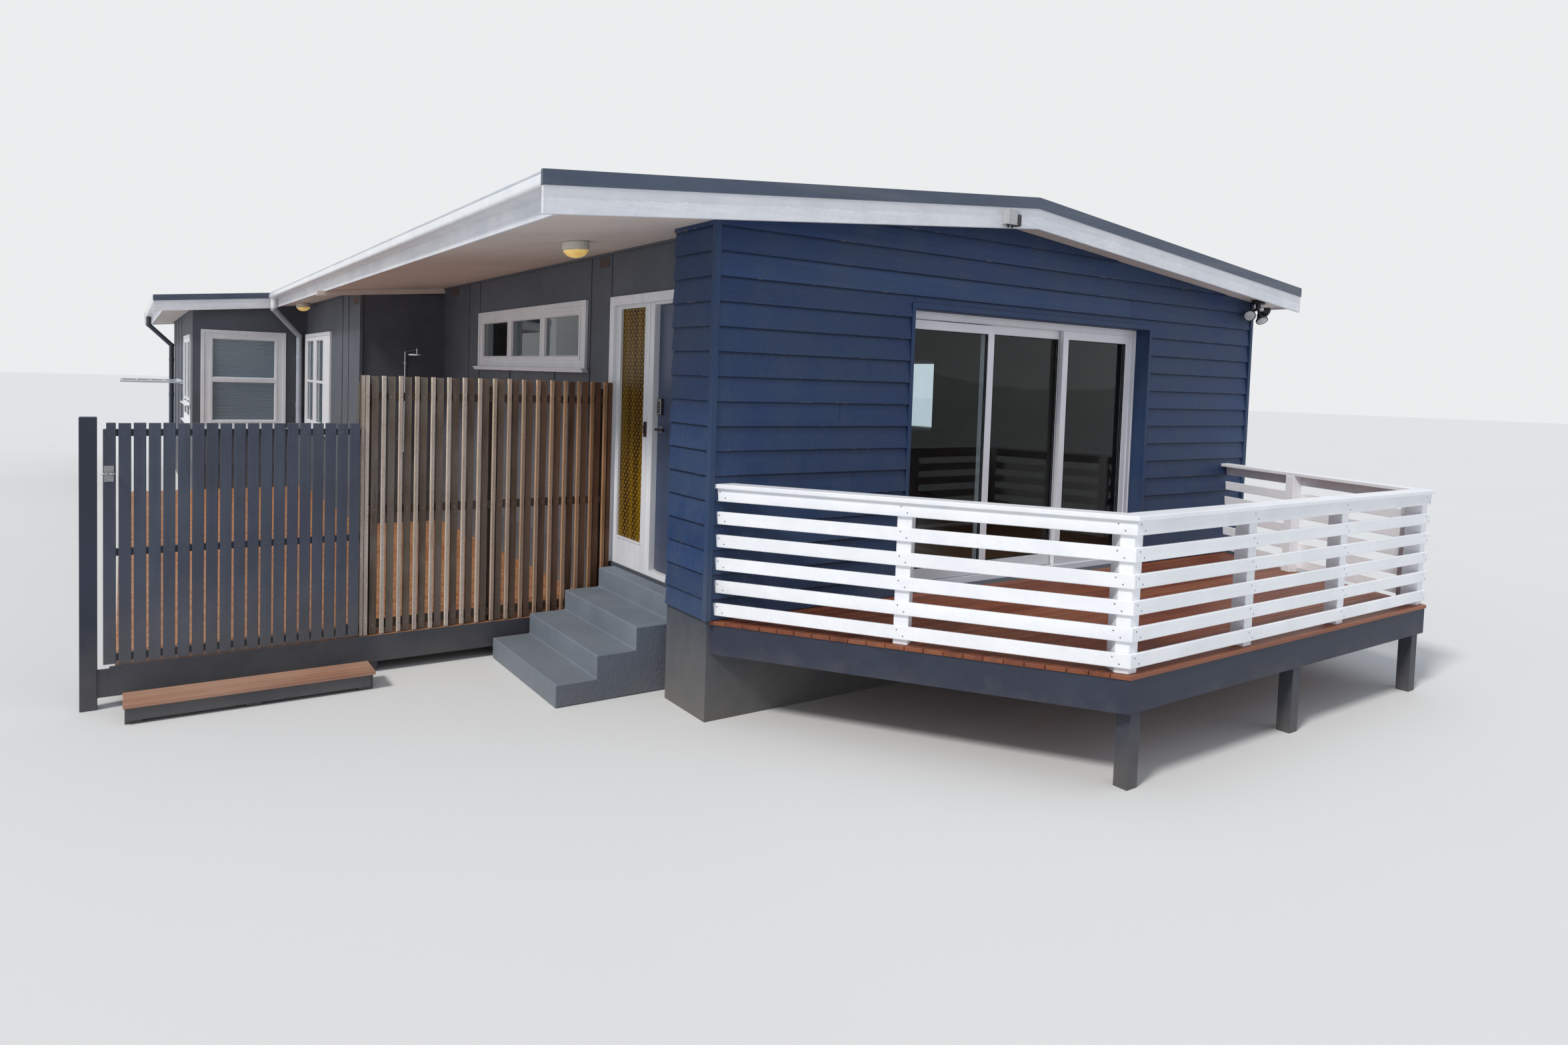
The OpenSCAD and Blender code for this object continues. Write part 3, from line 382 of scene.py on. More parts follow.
def amberGlass(name, look):
    # pressed pattern of small lenses on a diamond grid, with a painted glint on each lens
    shader, place = startMaterial(name, look)
    feed(shader, {"Transmission Weight": look["clear"]})
    y, z, turns = part(place, 1), part(place, 2), math.pi / look["pitch"]
    across = calc("SINE", timesPlus(noise(place, 9.0), 1.2, times(calc("ADD", y, z), turns)))
    down = calc("SINE", times(minus(y, z), turns))
    lens = calc("ABSOLUTE", times(across, down))
    fine = noise(place, 70.0, 3.0)
    column = noise(vec("MULTIPLY", place, (14.0, 14.0, 1.1)), 1.0, 3.0)
    base = blendColor(ramp(column, 0.35, 0.65), look["color"], look["second"])
    # painted highlight: the top of each lens takes a bright glint colour
    base = blendColor(ramp(lens, 0.62, 0.95, 0.0, 0.75), base, look["paintedGlint"])
    endMaterial(shader, base, timesPlus(fine, 0.2, look["rough"]), timesPlus(fine, 0.3, lens),
                0.9, 0.004)


def glowGlass(name, look):
    # diffuser over a lamp, faintly clouded
    shader, place = startMaterial(name, look)
    cloud = noise(place, 24.0, 2.0)
    base = blendColor(ramp(cloud, 0.3, 0.7), look["color"], look["second"])
    feed(shader, {"Emission Color": base, "Emission Strength": look["glow"]})
    endMaterial(shader, base, timesPlus(cloud, 0.1, look["rough"]), cloud, 0.1, 0.001)


alongX = (0.035, 1.0, 1.0)
alongY = (1.0, 0.035, 1.0)
alongZ = (1.0, 1.0, 0.035)
colorKeys = ("color", "second", "under", "dustColor", "bleached", "dark", "paintedGlint")


def makeFinishes(recipe, shared, table):
    # a material for each name, with its colours given as picked on screen
    for name, look in table.items():
        look = {"stretch": alongZ, **shared, **look}
        look.update({key: rgb(*look[key]) for key in colorKeys if key in look})
        recipe(name, look)


makeFinishes(paintedTimber, woodPaint, {
    "boardPaint": {"color": (41, 63, 102), "second": (53, 71, 100), "rough": 0.56,
        "stretch": alongX, "gloss": 0.3, "spread": 0.24, "streak": 0.1, "flakes": 0.58,
        "flakeSize": 5.0, "lips": (0.638, 0.157, 0.035), "under": (118, 110, 108), "dust": 0.3,
        "dustLow": 0.35, "dustHigh": 1.1, "dustColor": (104, 108, 114), "film": 0.2,
        "ridges": 0.9, "bump": 0.6, "depth": 0.002},
    "cornerPaint": {"color": (44, 65, 101), "second": (54, 71, 98), "rough": 0.58, "gloss": 0.3,
        "under": (140, 132, 124), "dust": 0.3, "dustLow": 0.5, "dustHigh": 1.2,
        "dustColor": (120, 122, 122), "film": 0.15},
    "bargePaint": {"color": (233, 234, 238), "second": (220, 223, 230), "rough": 0.45,
        "stretch": alongX, "flakes": 0.22, "flakeSize": 7.0, "under": (186, 182, 176),
        "dust": 0.0, "film": 1.5, "ridges": 0.7, "streak": 0.03, "bump": 0.8, "depth": 0.004,
        "oldBand": 0.172},
    "fasciaPaint": {"color": (233, 234, 237), "second": (221, 223, 229), "rough": 0.45,
        "stretch": alongY, "flakes": 0.28, "flakeSize": 8.0, "under": (150, 138, 122),
        "dust": 0.0, "film": 0.8, "ridges": 0.8, "bump": 0.6, "depth": 0.0025},
    "windowPaint": {"color": (231, 232, 235), "second": (224, 226, 231), "rough": 0.36,
        "flakes": 0.05, "under": (170, 160, 146), "dust": 0.1, "dustColor": (170, 160, 145),
        "film": 0.25, "bump": 0.25},
    "railPaint": {"color": (245, 246, 249), "second": (237, 239, 243), "rough": 0.4,
        "stretch": alongX, "spread": 0.06, "flakes": 0.06, "flakeSize": 20.0,
        "under": (178, 168, 156), "dust": 0.14, "dustLow": 0.5, "dustHigh": 0.8,
        "dustColor": (186, 178, 166), "streak": 0.02, "film": 0.12, "ridges": 0.5, "bump": 0.3},
    "picketPaint": {"color": (62, 68, 83), "second": (72, 78, 93), "rough": 0.62, "spread": 0.22,
        "streak": 0.09, "flakes": 0.28, "flakeSize": 22.0, "under": (128, 122, 114), "dust": 0.4,
        "dustLow": 0.2, "dustHigh": 0.8, "dustColor": (116, 112, 106), "film": 0.2, "ridges": 0.9,
        "bump": 0.6, "depth": 0.002},
    "darkPaint": {"color": (40, 46, 62), "second": (48, 54, 70), "rough": 0.6, "stretch": alongX,
        "flakes": 0.25, "under": (112, 106, 98), "dust": 0.5, "dustLow": -0.1, "dustHigh": 0.5,
        "dustColor": (120, 114, 106), "film": 0.3},
    "doorPaint": {"color": (60, 72, 98), "second": (68, 80, 106), "rough": 0.4, "flakes": 0.0,
        "dustLow": 0.6, "dustHigh": 1.1, "film": 0.06, "ridges": 0.25, "bump": 0.15}})
makeFinishes(sheetPaint, flatPaint, {
    "wallSheet": {"color": (76, 81, 90), "second": (86, 91, 100), "rough": 0.66, "dust": 0.3,
        "dustHigh": 1.4, "dustColor": (112, 110, 106), "bump": 0.18},
    "baseRender": {"color": (70, 74, 82), "second": (80, 84, 92), "rough": 0.8, "dust": 0.5,
        "dustHigh": 0.6, "dustColor": (128, 122, 112), "lump": 30.0, "bump": 0.5, "depth": 0.004},
    "stepPaint": {"color": (108, 118, 131), "second": (121, 131, 143), "rough": 0.7, "dust": 0.3,
        "dustHigh": 0.75, "dustColor": (122, 119, 114), "speck": 0.2, "lump": 24.0, "bump": 0.35,
        "depth": 0.003},
    "soffitPaint": {"color": (226, 214, 207), "second": (219, 206, 199), "rough": 0.7,
        "dust": 0.0, "bump": 0.12},
    "innerPlaster": {"color": (112, 108, 101), "second": (104, 99, 92), "rough": 0.8, "dust": 0.0,
        "bump": 0.08},
    "roughRender": {"color": (88, 97, 114), "second": (104, 113, 128), "rough": 0.85, "dust": 0.4,
        "dustHigh": 0.5, "dustColor": (122, 117, 110), "lump": 46.0, "lumps": 1.0, "speck": 0.35,
        "bump": 0.9, "depth": 0.012},
    "ventBrick": {"color": (112, 84, 74), "second": (92, 74, 68), "rough": 0.85, "dust": 0.0,
        "lump": 60.0, "bump": 0.5}})
makeFinishes(coatedMetal, coating, {
    "lineCoat": {"color": (206, 210, 216), "second": (192, 196, 203), "rough": 0.4,
        "stretch": alongY},
    "roofSteel": {"color": (78, 89, 106), "second": (88, 98, 114), "rough": 0.46,
        "stretch": alongX, "metallic": 0.15, "dust": 0.3},
    "capSteel": {"color": (70, 81, 100), "second": (79, 90, 108), "rough": 0.42,
        "stretch": alongX, "metallic": 0.15, "dust": 0.18},
    "gutterSteel": {"color": (234, 236, 239), "second": (224, 227, 232), "rough": 0.3,
        "dust": 0.12},
    "pipeDark": {"color": (52, 58, 70), "second": (60, 66, 78), "rough": 0.5},
    "pipeGrey": {"color": (172, 179, 189), "second": (160, 168, 179), "rough": 0.45},
    "frameCoat": {"color": (240, 242, 247), "second": (233, 236, 243), "rough": 0.3,
        "dust": 0.05},
    "blindSlat": {"color": (238, 242, 250), "second": (229, 234, 245), "rough": 0.45,
        "stretch": alongX, "dust": 0.04},
    # a lighter copy of the picket paint for the gate's screw heads: painted highlight
    "headPaintHighlight": {"color": (104, 110, 124), "second": (94, 100, 114), "rough": 0.3, "dust": 0.1},
    "blackCoat": {"color": (36, 37, 40), "second": (46, 47, 50), "rough": 0.42, "dust": 0.12},
    "rustBrown": {"color": (64, 38, 36), "second": (44, 30, 32), "rough": 0.6, "dust": 0.1},
    "coverCream": {"color": (214, 208, 196), "second": (204, 197, 184), "rough": 0.38,
        "stretch": alongX},
    "greyPlastic": {"color": (190, 192, 194), "second": (178, 180, 182), "rough": 0.5},
    "darkPlastic": {"color": (54, 56, 60), "second": (64, 66, 70), "rough": 0.5},
    "whitePlastic": {"color": (232, 233, 234), "second": (222, 223, 225), "rough": 0.35,
        "dust": 0.15},
    # black rubber, and the painted shade of the open vent slots
    "rubberBlackAndSlotShade": {"color": (26, 27, 29), "second": (34, 35, 37), "rough": 0.6, "dust": 0.1}})
makeFinishes(brightMetal, {}, {
    "satinSteel": {"color": (196, 198, 202), "second": (168, 170, 176), "rough": 0.32,
        "stretch": alongX},
    "agedZinc": {"color": (150, 152, 156), "second": (112, 110, 108), "rough": 0.5}})
battenWood = {"rough": 0.72, "stretch": alongZ, "grain": 24.0, "patch": 3.0, "depth": 0.003}
# shared by the paler copies of the batten finish, which are painted light
sawnLitFace = {**battenWood, "spread": 0.2, "sawn": 130.0,
            "shelter": (-1.1, 0.45, (0.62, 0.4, 0.24, 1.0))}
makeFinishes(bareTimber, plainWood, {
    "deckTimber": {"color": (132, 70, 42), "second": (108, 54, 33), "bleached": (150, 104, 76),
        "rough": 0.5, "stretch": alongX, "spread": 0.4, "weather": 0.3, "checks": 0.3},
    "sideTimber": {"color": (176, 116, 72), "second": (150, 92, 54), "bleached": (176, 142, 110),
        "rough": 0.58, "stretch": alongX, "spread": 0.35, "checks": 0.3},
    "stepTimber": {"color": (178, 130, 106), "second": (150, 104, 82),
        "bleached": (188, 156, 134), "rough": 0.62, "stretch": alongX, "spread": 0.3,
        "weather": 0.5, "checks": 0.35},
    "frameTimber": {"color": (74, 62, 54), "second": (58, 48, 42), "bleached": (92, 84, 78),
        "rough": 0.75, "spread": 0.3, "weather": 0.5},
    "floorTimber": {"color": (168, 122, 84), "second": (146, 102, 68),
        "bleached": (176, 140, 106), "rough": 0.4, "stretch": alongY, "spread": 0.3,
        "weather": 0.2, "checks": 0.2, "laid": 0.13},
    "battenTimber": {**battenWood, "color": (112, 94, 80), "second": (82, 66, 54),
        "bleached": (128, 118, 110), "dark": (52, 40, 32), "spread": 0.35, "weather": 0.6,
        "checks": 0.5, "bump": 0.8, "shelter": (-1.1, 0.45, (0.85, 0.52, 0.34, 1.0))},
    # paler copies of the batten finish for the faces the light falls on: painted light
    "litBattenFront": {**sawnLitFace, "color": (194, 176, 162), "second": (166, 146, 132),
        "bleached": (206, 194, 184), "dark": (120, 92, 66), "weather": 0.7, "checks": 0.35,
        "bump": 0.9},
    "litBattenSide": {**sawnLitFace, "color": (232, 212, 190), "second": (208, 186, 162),
        "bleached": (238, 224, 208), "dark": (150, 120, 92), "weather": 0.6, "checks": 0.2,
        "bump": 0.8}})
makeFinishes(paneGlass, {}, {
    "clearGlass": {"color": (226, 236, 240), "rough": 0.0, "clear": 1.0, "haze": 0.02,
        "ior": 1.22}})
makeFinishes(amberGlass, {}, {
    "goldGlass": {"color": (136, 102, 8), "second": (80, 50, 5), "paintedGlint": (206, 166, 36),
        "rough": 0.12, "clear": 0.35, "pitch": 0.058, "ior": 1.22}})
makeFinishes(glowGlass, {}, {
    "warmGlass": {"color": (244, 214, 140), "second": (232, 190, 104), "glow": 0.35,
        "rough": 0.18},
    "lampGlass": {"color": (206, 210, 214), "second": (190, 194, 200), "glow": 0.02,
        "rough": 0.12}})
print("stage: finishes made")


# mesh helpers

def addObject(name, mesh):
    thing = bpy.data.objects.new(name, mesh)
    scene.collection.objects.link(thing)
    return thing


def meshFrom(bm, name, *materials):
    # the mesh of finished edit data, with its finishes
    mesh = bpy.data.meshes.new(name)
    bm.to_mesh(mesh)
    bm.free()
    dress(mesh, *materials)
    return mesh


def dress(mesh, *materials):
    mesh.materials.clear()
    for material in materials:
        mesh.materials.append(bpy.data.materials[material])


def markFaces(mesh, index, chosen):
    # another of the mesh's finishes on the chosen faces
    for face in mesh.polygons:
        if chosen(face):
            face.material_index = index


def addFinish(mesh, material, chosen):
    mesh.materials.append(bpy.data.materials[material])
    markFaces(mesh, len(mesh.materials) - 1, chosen)


def enter(thing, body, replaces=()):
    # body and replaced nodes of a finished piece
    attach(thing, body)
    if replaces:
        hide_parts(*replaces)
    return thing


def bake(thing, bevel=0.0, segments=1, carve=None):
    # plain mesh from the object's live modifiers, then the modifiers go
    if carve:
        cut = thing.modifiers.new("carve", "BOOLEAN")
        cut.object = carve
        cut.solver = "EXACT"
    if bevel > 0:
        soft = thing.modifiers.new("soften", "BEVEL")
        soft.width = bevel
        soft.segments = segments
        soft.limit_method = "ANGLE"
        soft.angle_limit = math.radians(35)
        soft.use_clamp_overlap = True
    bpy.context.view_layer.update()
    made = bpy.data.meshes.new_from_object(thing.evaluated_get(
        bpy.context.evaluated_depsgraph_get()))
    made.name = thing.name
    thing.modifiers.clear()
    thing.data = made
    return thing


def trimPlanes(mesh, planes):
    # keep what lies under each plane (point, outward normal), and close the cuts
    bm = bmesh.new()
    bm.from_mesh(mesh)
    for point, normal in planes:
        geometry = bm.verts[:] + bm.edges[:] + bm.faces[:]
        cut = bmesh.ops.bisect_plane(bm, geom=geometry, plane_co=point, plane_no=normal,
                                     clear_outer=True, dist=1e-6)
        rim = [e for e in cut["geom_cut"] if isinstance(e, bmesh.types.BMEdge)]
        if rim:
            bmesh.ops.holes_fill(bm, edges=rim, sides=0)
    bmesh.ops.recalc_face_normals(bm, faces=bm.faces[:])
    bm.to_mesh(mesh)
    bm.free()


def boxInto(bm, low, high, tone=0.5):
    # a box between two corners
    layer = bm.verts.layers.float.get("tone") or bm.verts.layers.float.new("tone")
    made = bmesh.ops.create_cube(bm, size=1.0)["verts"]
    bmesh.ops.scale(bm, vec=Vector(high) - Vector(low), verts=made)
    bmesh.ops.translate(bm, vec=(Vector(high) + Vector(low)) / 2, verts=made)
    for v in made:
        v[layer] = tone


def boxes(name, places, material, bevel=0.002, segments=1, body="house", replaces=()):
    # several boxes as one piece, each with its own tone
    chance = random.Random(3)
    bm = bmesh.new()
    for low, high in places:
        boxInto(bm, low, high, chance.random())
    thing = bake(addObject(name, meshFrom(bm, name, material)), bevel, segments)
    return enter(thing, body, replaces)


def softened(node, name, material, bevel):
    # the CAD solid with its edges eased and a tone for each separate board
    source = nodes[node]
    bm = bmesh.new()
    bm.from_mesh(source.data)
    bmesh.ops.remove_doubles(bm, verts=bm.verts[:], dist=2e-5)
    bmesh.ops.dissolve_limit(bm, angle_limit=math.radians(0.6), verts=bm.verts[:],
                             edges=bm.edges[:])
    layer = bm.verts.layers.float.new("tone")
    chance = random.Random(len(node) * 7 + 1)
    seen = set()
    for first in bm.verts:
        if first in seen:
            continue
        tone = chance.random()
        stack = [first]
        while stack:
            v = stack.pop()
            if v not in seen:
                seen.add(v)
                v[layer] = tone
                stack += [e.other_vert(v) for e in v.link_edges]
    thing = bake(addObject(name, meshFrom(bm, name, material)), bevel,
                 2 if bevel > 0.003 else 1)
    return enter(thing, source["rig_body"], (node,))


# Geometry Nodes: rows of boards and scattered fixing heads

def anyNumber(seed, low=0.0, high=1.0):
    return put("FunctionNodeRandomValue", {2: low, 3: high, "Seed": seed}, 1, data_type="FLOAT")


def anyVector(seed, low, high):
    return put("FunctionNodeRandomValue", {0: low, 1: high, "Seed": seed},
               data_type="FLOAT_VECTOR")


def pointLine(count, first, step):
    return put("GeometryNodeMeshLine", {"Count": count, "Start Location": first, "Offset": step},
               mode="OFFSET")


def moved(points, offset):
    return put("GeometryNodeSetPosition", {"Geometry": points, "Offset": offset})


def turnBy(angles):
    return put("FunctionNodeEulerToRotation", {0: angles})


def placed(points, instance, turn, scale=(1.0, 1.0, 1.0)):
    return put("GeometryNodeInstanceOnPoints", {"Points": points, "Instance": instance,
                                                "Rotation": turn, "Scale": scale})


def joined(*parts):
    both = parts[0].id_data.nodes.new("GeometryNodeJoinGeometry")
    for piece in parts:
        both.id_data.links.new(piece, both.inputs[0])
    return both.outputs[0]


def toned(instances, seed):
    # a tone for each instance, which the finishes read
    return put("GeometryNodeStoreNamedAttribute", {
        "Geometry": instances, "Name": "tone", "Value": anyNumber(seed)}, data_type="FLOAT",
        domain="INSTANCE")


def endTree(end, instances, material):
    whole = put("GeometryNodeRealizeInstances", {"Geometry": instances})
    return closeGroup(end, {0: put("GeometryNodeSetMaterial", {"Geometry": whole,
                                                               "Material": material})})


def makeRowTree():
    # a row of like boards, each a little off its place and turned a little
    given, end = newGroup("boardRow", "GeometryNodeTree", {
        "Geometry": None, "Count": 10, "First": (0, 0, 0), "Step": (0, 0, 1),
        "Size": (1, 1, 1), "Tilt": (0, 0, 0), "Shift": (0, 0, 0), "Turn": (0, 0, 0),
        "Seed": 1, "Material": None}, ("Geometry",))

    def scatter(label, offset, base):
        # random vector within the named amount of a base value
        return anyVector(calc("ADD", given["Seed"], offset), vec("SUBTRACT", base, given[label]),
                         vec("ADD", base, given[label]))

    line = pointLine(given["Count"], given["First"], given["Step"])
    points = moved(line, scatter("Shift", 0.0, (0, 0, 0)))
    board = put("GeometryNodeMeshCube", {"Size": given["Size"]})
    row = placed(points, board, turnBy(scatter("Turn", 1.0, given["Tilt"])))
    return endTree(end, toned(row, given["Seed"]), given["Material"])


def makeLapTree():
    # rows of lapped boards, each row made of two lengths that meet at a random joint
    given, end = newGroup("lappedBoards", "GeometryNodeTree", {
        "Geometry": None, "Count": 10, "First": (0, 0, 0), "Cover": 0.157, "Length": 6.0,
        "Height": 0.17, "Thickness": 0.013, "Lean": 0.08, "Joint low": 0.3,
        "Joint high": 0.7, "Joint gap": 0.0015, "Unevenness": 0.002, "Seed": 1,
        "Material": None}, ("Geometry",))
    long, uneven = given["Length"], given["Unevenness"]
    line = pointLine(given["Count"], given["First"], xyz(z=given["Cover"]))
    share = anyNumber(given["Seed"], given["Joint low"], given["Joint high"])
    left = times(long, share)
    right = minus(minus(long, left), given["Joint gap"])
    cube = put("GeometryNodeMeshCube", {"Size": (1.0, 1.0, 1.0)}, tree=end.id_data)
    board = put("GeometryNodeTransform", {"Geometry": cube, "Translation": (0, 0, 0.5)})
    rows = []
    for k, length in enumerate((left, right)):
        middle = times(length, 0.5)
        if k:
            middle = minus(long, middle)
        wobble = anyNumber(calc("ADD", given["Seed"], 5.0 + k), times(uneven, -1.0), uneven)
        row = placed(moved(line, xyz(middle, wobble)), board, turnBy(xyz(given["Lean"])),
                     xyz(length, given["Thickness"], given["Height"]))
        rows.append(toned(row, calc("ADD", given["Seed"], 11.0 + k)))
    return endTree(end, joined(*rows), given["Material"])


def makeHeadTree():
    # a low domed head on each point of the input mesh, facing one way
    given, end = newGroup("fixingHeads", "GeometryNodeTree", {
        "Geometry": None, "Radius": 0.004, "Rise": 0.0015, "Facing": (0, -1, 0), "Sides": 8,
        "Scatter": 0.0, "Seed": 1, "Material": None}, ("Geometry",))
    flat = vec("SUBTRACT", (1, 1, 1), vec("ABSOLUTE", given["Facing"], (0, 0, 0)))
    amount = given["Scatter"]
    spread = vec("MULTIPLY", xyz(amount, amount, amount), flat)
    offset = anyVector(given["Seed"], vec("MULTIPLY", spread, (-1, -1, -1)), spread)
    rim, dome = (put("GeometryNodeMeshCylinder", {
        "Vertices": given["Sides"], "Radius": radius, "Depth": depth}) for radius, depth in (
            (given["Radius"], given["Rise"]),
            (times(given["Radius"], 0.6), times(given["Rise"], 1.9))))
    aim = put("FunctionNodeAlignRotationToVector", {"Vector": given["Facing"]}, axis="Z")
    stood = placed(moved(given["Geometry"], offset), joined(rim, dome), aim)
    return endTree(end, stood, given["Material"])


rowTree = makeRowTree()
lapTree = makeLapTree()
headTree = makeHeadTree()


def grown(name, tree, values, material, bevel=0.0, segments=1, points=(), planes=(),
          hole=None, body="house", replaces=()):
    # run a Geometry Nodes tree with the given inputs and keep its result as a plain mesh
    mesh = bpy.data.meshes.new(name)
    mesh.from_pydata([tuple(p) for p in points], [], [])
    thing = addObject(name, mesh)
    live = thing.modifiers.new(tree.name, "NODES")
    live.node_group = tree
    values = {**values, "Material": bpy.data.materials[material]}
    for item in tree.interface.items_tree:
        if item.in_out == "INPUT" and item.name in values:
            live[item.identifier] = values[item.name]
    bake(thing)
    dress(thing.data, material)
    markFaces(thing.data, 0, lambda face: True)
    if hole:
        bm = bmesh.new()
        boxInto(bm, *hole)
        block = addObject("hole", meshFrom(bm, "hole"))
        bake(thing, carve=block)
        bpy.data.objects.remove(block)
    if planes:
        trimPlanes(thing.data, planes)
    if bevel > 0:
        bake(thing, bevel, segments)
    return enter(thing, body, replaces)


def heads(name, points, facing, material, radius, rise, sides=8, scatter=0.0,
          body="house"):
    return grown(name, headTree, {"Radius": radius, "Rise": rise, "Facing": facing,
                 "Sides": sides, "Scatter": scatter}, material, points=points, body=body)


def roofHeight(x):
    # top plane of the roof
    return roofLine["ridgeTop"] - roofLine["slope"] * abs(x - roofLine["ridgeX"])


slopeUp = Vector((-roofLine["slope"], 0, 1)).normalized()    # outward normal of the left slope
slopeDown = Vector((roofLine["slope"], 0, 1)).normalized()


# weatherboards of the gable end and of the short return wall

lapLook = {"cover": 0.157, "lowest": 0.638, "rows": 19, "returnRows": 17, "height": 0.172,
           "thickness": 0.014, "lean": 0.104, "proud": 0.027, "left": 0.012, "right": 6.048,
           "bottom": 0.659, "returnTop": 3.181, "band": 0.032, "headBand": 0.042,
           "nails": 13, "nailPitch": 0.483}


def buildWeatherboards(look):
    x0, x1, low = look["left"], look["right"], look["bottom"]
    a, b, top = sliderLeft, sliderRight, sliderTop
    p, head = look["band"], look["headBand"]
    middle = -look["proud"] + look["thickness"] / 2
    below = liningDrop + 0.0015
    shared = {"Cover": look["cover"], "Height": look["height"], "Thickness": look["thickness"]}
    grown("gableBoards", lapTree, {
        **shared, "Count": look["rows"], "First": (x0, middle, look["lowest"]),
        "Length": x1 - x0, "Lean": -look["lean"], "Joint low": 0.12, "Joint high": 0.88,
        "Unevenness": 0.0007, "Seed": 7}, "boardPaint", 0.0012,
        hole=((a - p, -0.1, 0.3), (b + p, 0.1, top + head)),
        planes=[((x0, 0, roofHeight(x0) - below), slopeUp),
                ((x1, 0, roofHeight(x1) - below), slopeDown), ((0, 0, low), (0, 0, -1))])
    half = look["height"] / 2
    grown("returnBoards", rowTree, {
        "Count": look["returnRows"],
        "First": (middle + math.sin(look["lean"]) * half, 0.2705, look["lowest"] + half),
        "Step": (0, 0, look["cover"]), "Size": (look["thickness"], 0.519, look["height"]),
        "Tilt": (0, look["lean"], 0), "Shift": (0.0005, 0, 0), "Seed": 4}, "boardPaint",
        0.0012,
        planes=[((0, 0, low), (0, 0, -1)), ((0, 0, look["returnTop"]), (0, 0, 1))])
    boxes("cornerStops", [
        ((-0.034, -0.034, low), (0.010, 0.010, look["returnTop"] - 0.0005)),
        ((6.050, -0.034, low), (6.094, 0.010, 3.1035)),
        ((-0.009, 0.5305, low), (0.002, 0.5395, look["returnTop"] - 0.0005))],
        "cornerPaint", 0.003)
    boxes("sliderFlashing", [
        ((a - p, -0.0285, low), (a - 0.0005, 0.0, top)),
        ((b + 0.0005, -0.0285, low), (b + p, 0.0, top)),
        ((a - p, -0.0290, top), (b + p, 0.0, top + head)),
        ((a - 0.001, -0.0238, top - 0.003), (b + 0.001, 0.114, top - 0.0005))],
        "cornerPaint")
    nails = []
    chance = random.Random(12)
    for k in range(look["rows"]):
        z = look["lowest"] + look["cover"] * k + 0.026
        for n in range(look["nails"]):
            x = 0.12 + n * look["nailPitch"] + chance.uniform(-0.01, 0.01)
            outside = x > x1 - 0.05 or z > roofHeight(x) - 0.25
            atDoor = a - p - 0.03 < x < b + p + 0.03 and z < top + 0.06
            if not outside and not atDoor:
                nails.append((x, -look["proud"] + 0.0022, z))
    heads("boardNails", nails, (0, -1, 0), "boardPaint", 0.0032, 0.0012)


buildWeatherboards(lapLook)
print("stage: weatherboards")


# CAD nodes that keep their shape and take a finish

for names, material in (
        ("front_wall_left front_wall_right front_wall_head return_wall", "cornerPaint"),
        ("foundation", "baseRender"), ("floor", "floorTimber"),
        ("entry_wall_head entry_wall shower_wall side_wall wing_front_wall wing_side_wall "
         "right_wall back_wall wall_vents", "wallSheet"),
        ("soffit_lining", "soffitPaint"), ("roof_deck", "stepTimber"),
        ("roof_left roof_right", "roofSteel"), ("roof_caps", "capSteel"),
        ("gutters", "gutterSteel"), ("fixed_glass slider_glass window_glass", "clearGlass"),
        ("sidelight_glass", "goldGlass"), ("deck_frame", "darkPaint"), ("shower", "satinSteel"),
        ("clothes_line", "lineCoat"), ("door_handle", "blackCoat"),
        ("slider_handle", "whitePlastic")):
    for node in names.split():
        dress(nodes[node].data, material)

for names, axis, side in (  # plaster on the room side of the walls
        ("entry_wall_head entry_wall side_wall wing_side_wall return_wall", 0, 1),
        ("right_wall", 0, -1),
        ("front_wall_left front_wall_right front_wall_head shower_wall wing_front_wall", 1, 1),
        ("back_wall", 1, -1)):
    for node in names.split():
        addFinish(nodes[node].data, "innerPlaster",
                  lambda face: face.normal[axis] * side > 0.9)

for node, name, material, bevel, slotName in (
        ("barge_boards", "bargeBoards", "bargePaint", 0.003, "trim_white"),
        ("fascia_boards", "fasciaBoards", "fasciaPaint", 0.003, "trim_white"),
        ("slider_frame", "sliderFrame", "frameCoat", 0.002, "frame_white"),
        ("slider_leaf", "sliderLeaf", "frameCoat", 0.0025, "frame_white"),
        ("entry_frame", "entryFrame", "windowPaint", 0.003, "trim_white"),
        ("door_leaf", "doorLeaf", "doorPaint", 0.002, "door_paint"),
        ("high_window", "highWindow", "windowPaint", 0.003, "window_white"),
        ("wing_window", "wingWindow", "windowPaint", 0.003, "window_white"),
        ("side_windows", "sideWindows", "windowPaint", 0.003, "window_white"),
        ("far_windows", "farWindows", "windowPaint", 0.003, "window_white"),
        ("entry_steps", "entrySteps", "stepPaint", 0.009, "concrete_paint"),
        ("rail_posts", "railPosts", "railPaint", 0.003, "trim_white"),
        ("left_railing", "leftRailing", "railPaint", 0.003, "trim_white"),
        ("front_railing", "frontRailing", "railPaint", 0.003, "trim_white"),
        ("right_railing", "rightRailing", "railPaint", 0.003, "trim_white"),
        ("rail_cap", "railCap", "railPaint", 0.004, "trim_white"),
        ("side_deck_frame", "sideDeckFrame", "darkPaint", 0.003, "deck_dark"),
        ("fuse_box", "fuseBox", "greyPlastic", 0.005, "box_grey")):
    softened(node, name, material, bevel)
for v in bpy.data.objects["doorLeaf"].data.vertices:  # gap over the floor, so the leaf swings
    if v.co.z < floorTop + 0.01:
        v.co.z += 0.006
addFinish(bpy.data.objects["entrySteps"].data, "roughRender",  # coarse render on the risers
          lambda face: abs(face.normal.y) > 0.9 and face.normal.z < 0.2)
print("stage: solids dressed")


# sheet walls: cover strips over the joints, and a bead under the lining

farWindow, backWindow, fromSill = (1.5, 2.6), (1.752, 3.552), 0.04
stripLook = {"width": 0.042, "thickness": 0.008, "bead": 0.018, "sheet": 1.2, "clear": 0.08,
             "windows": ((4.186, 5.986), (11.284, 13.084))}


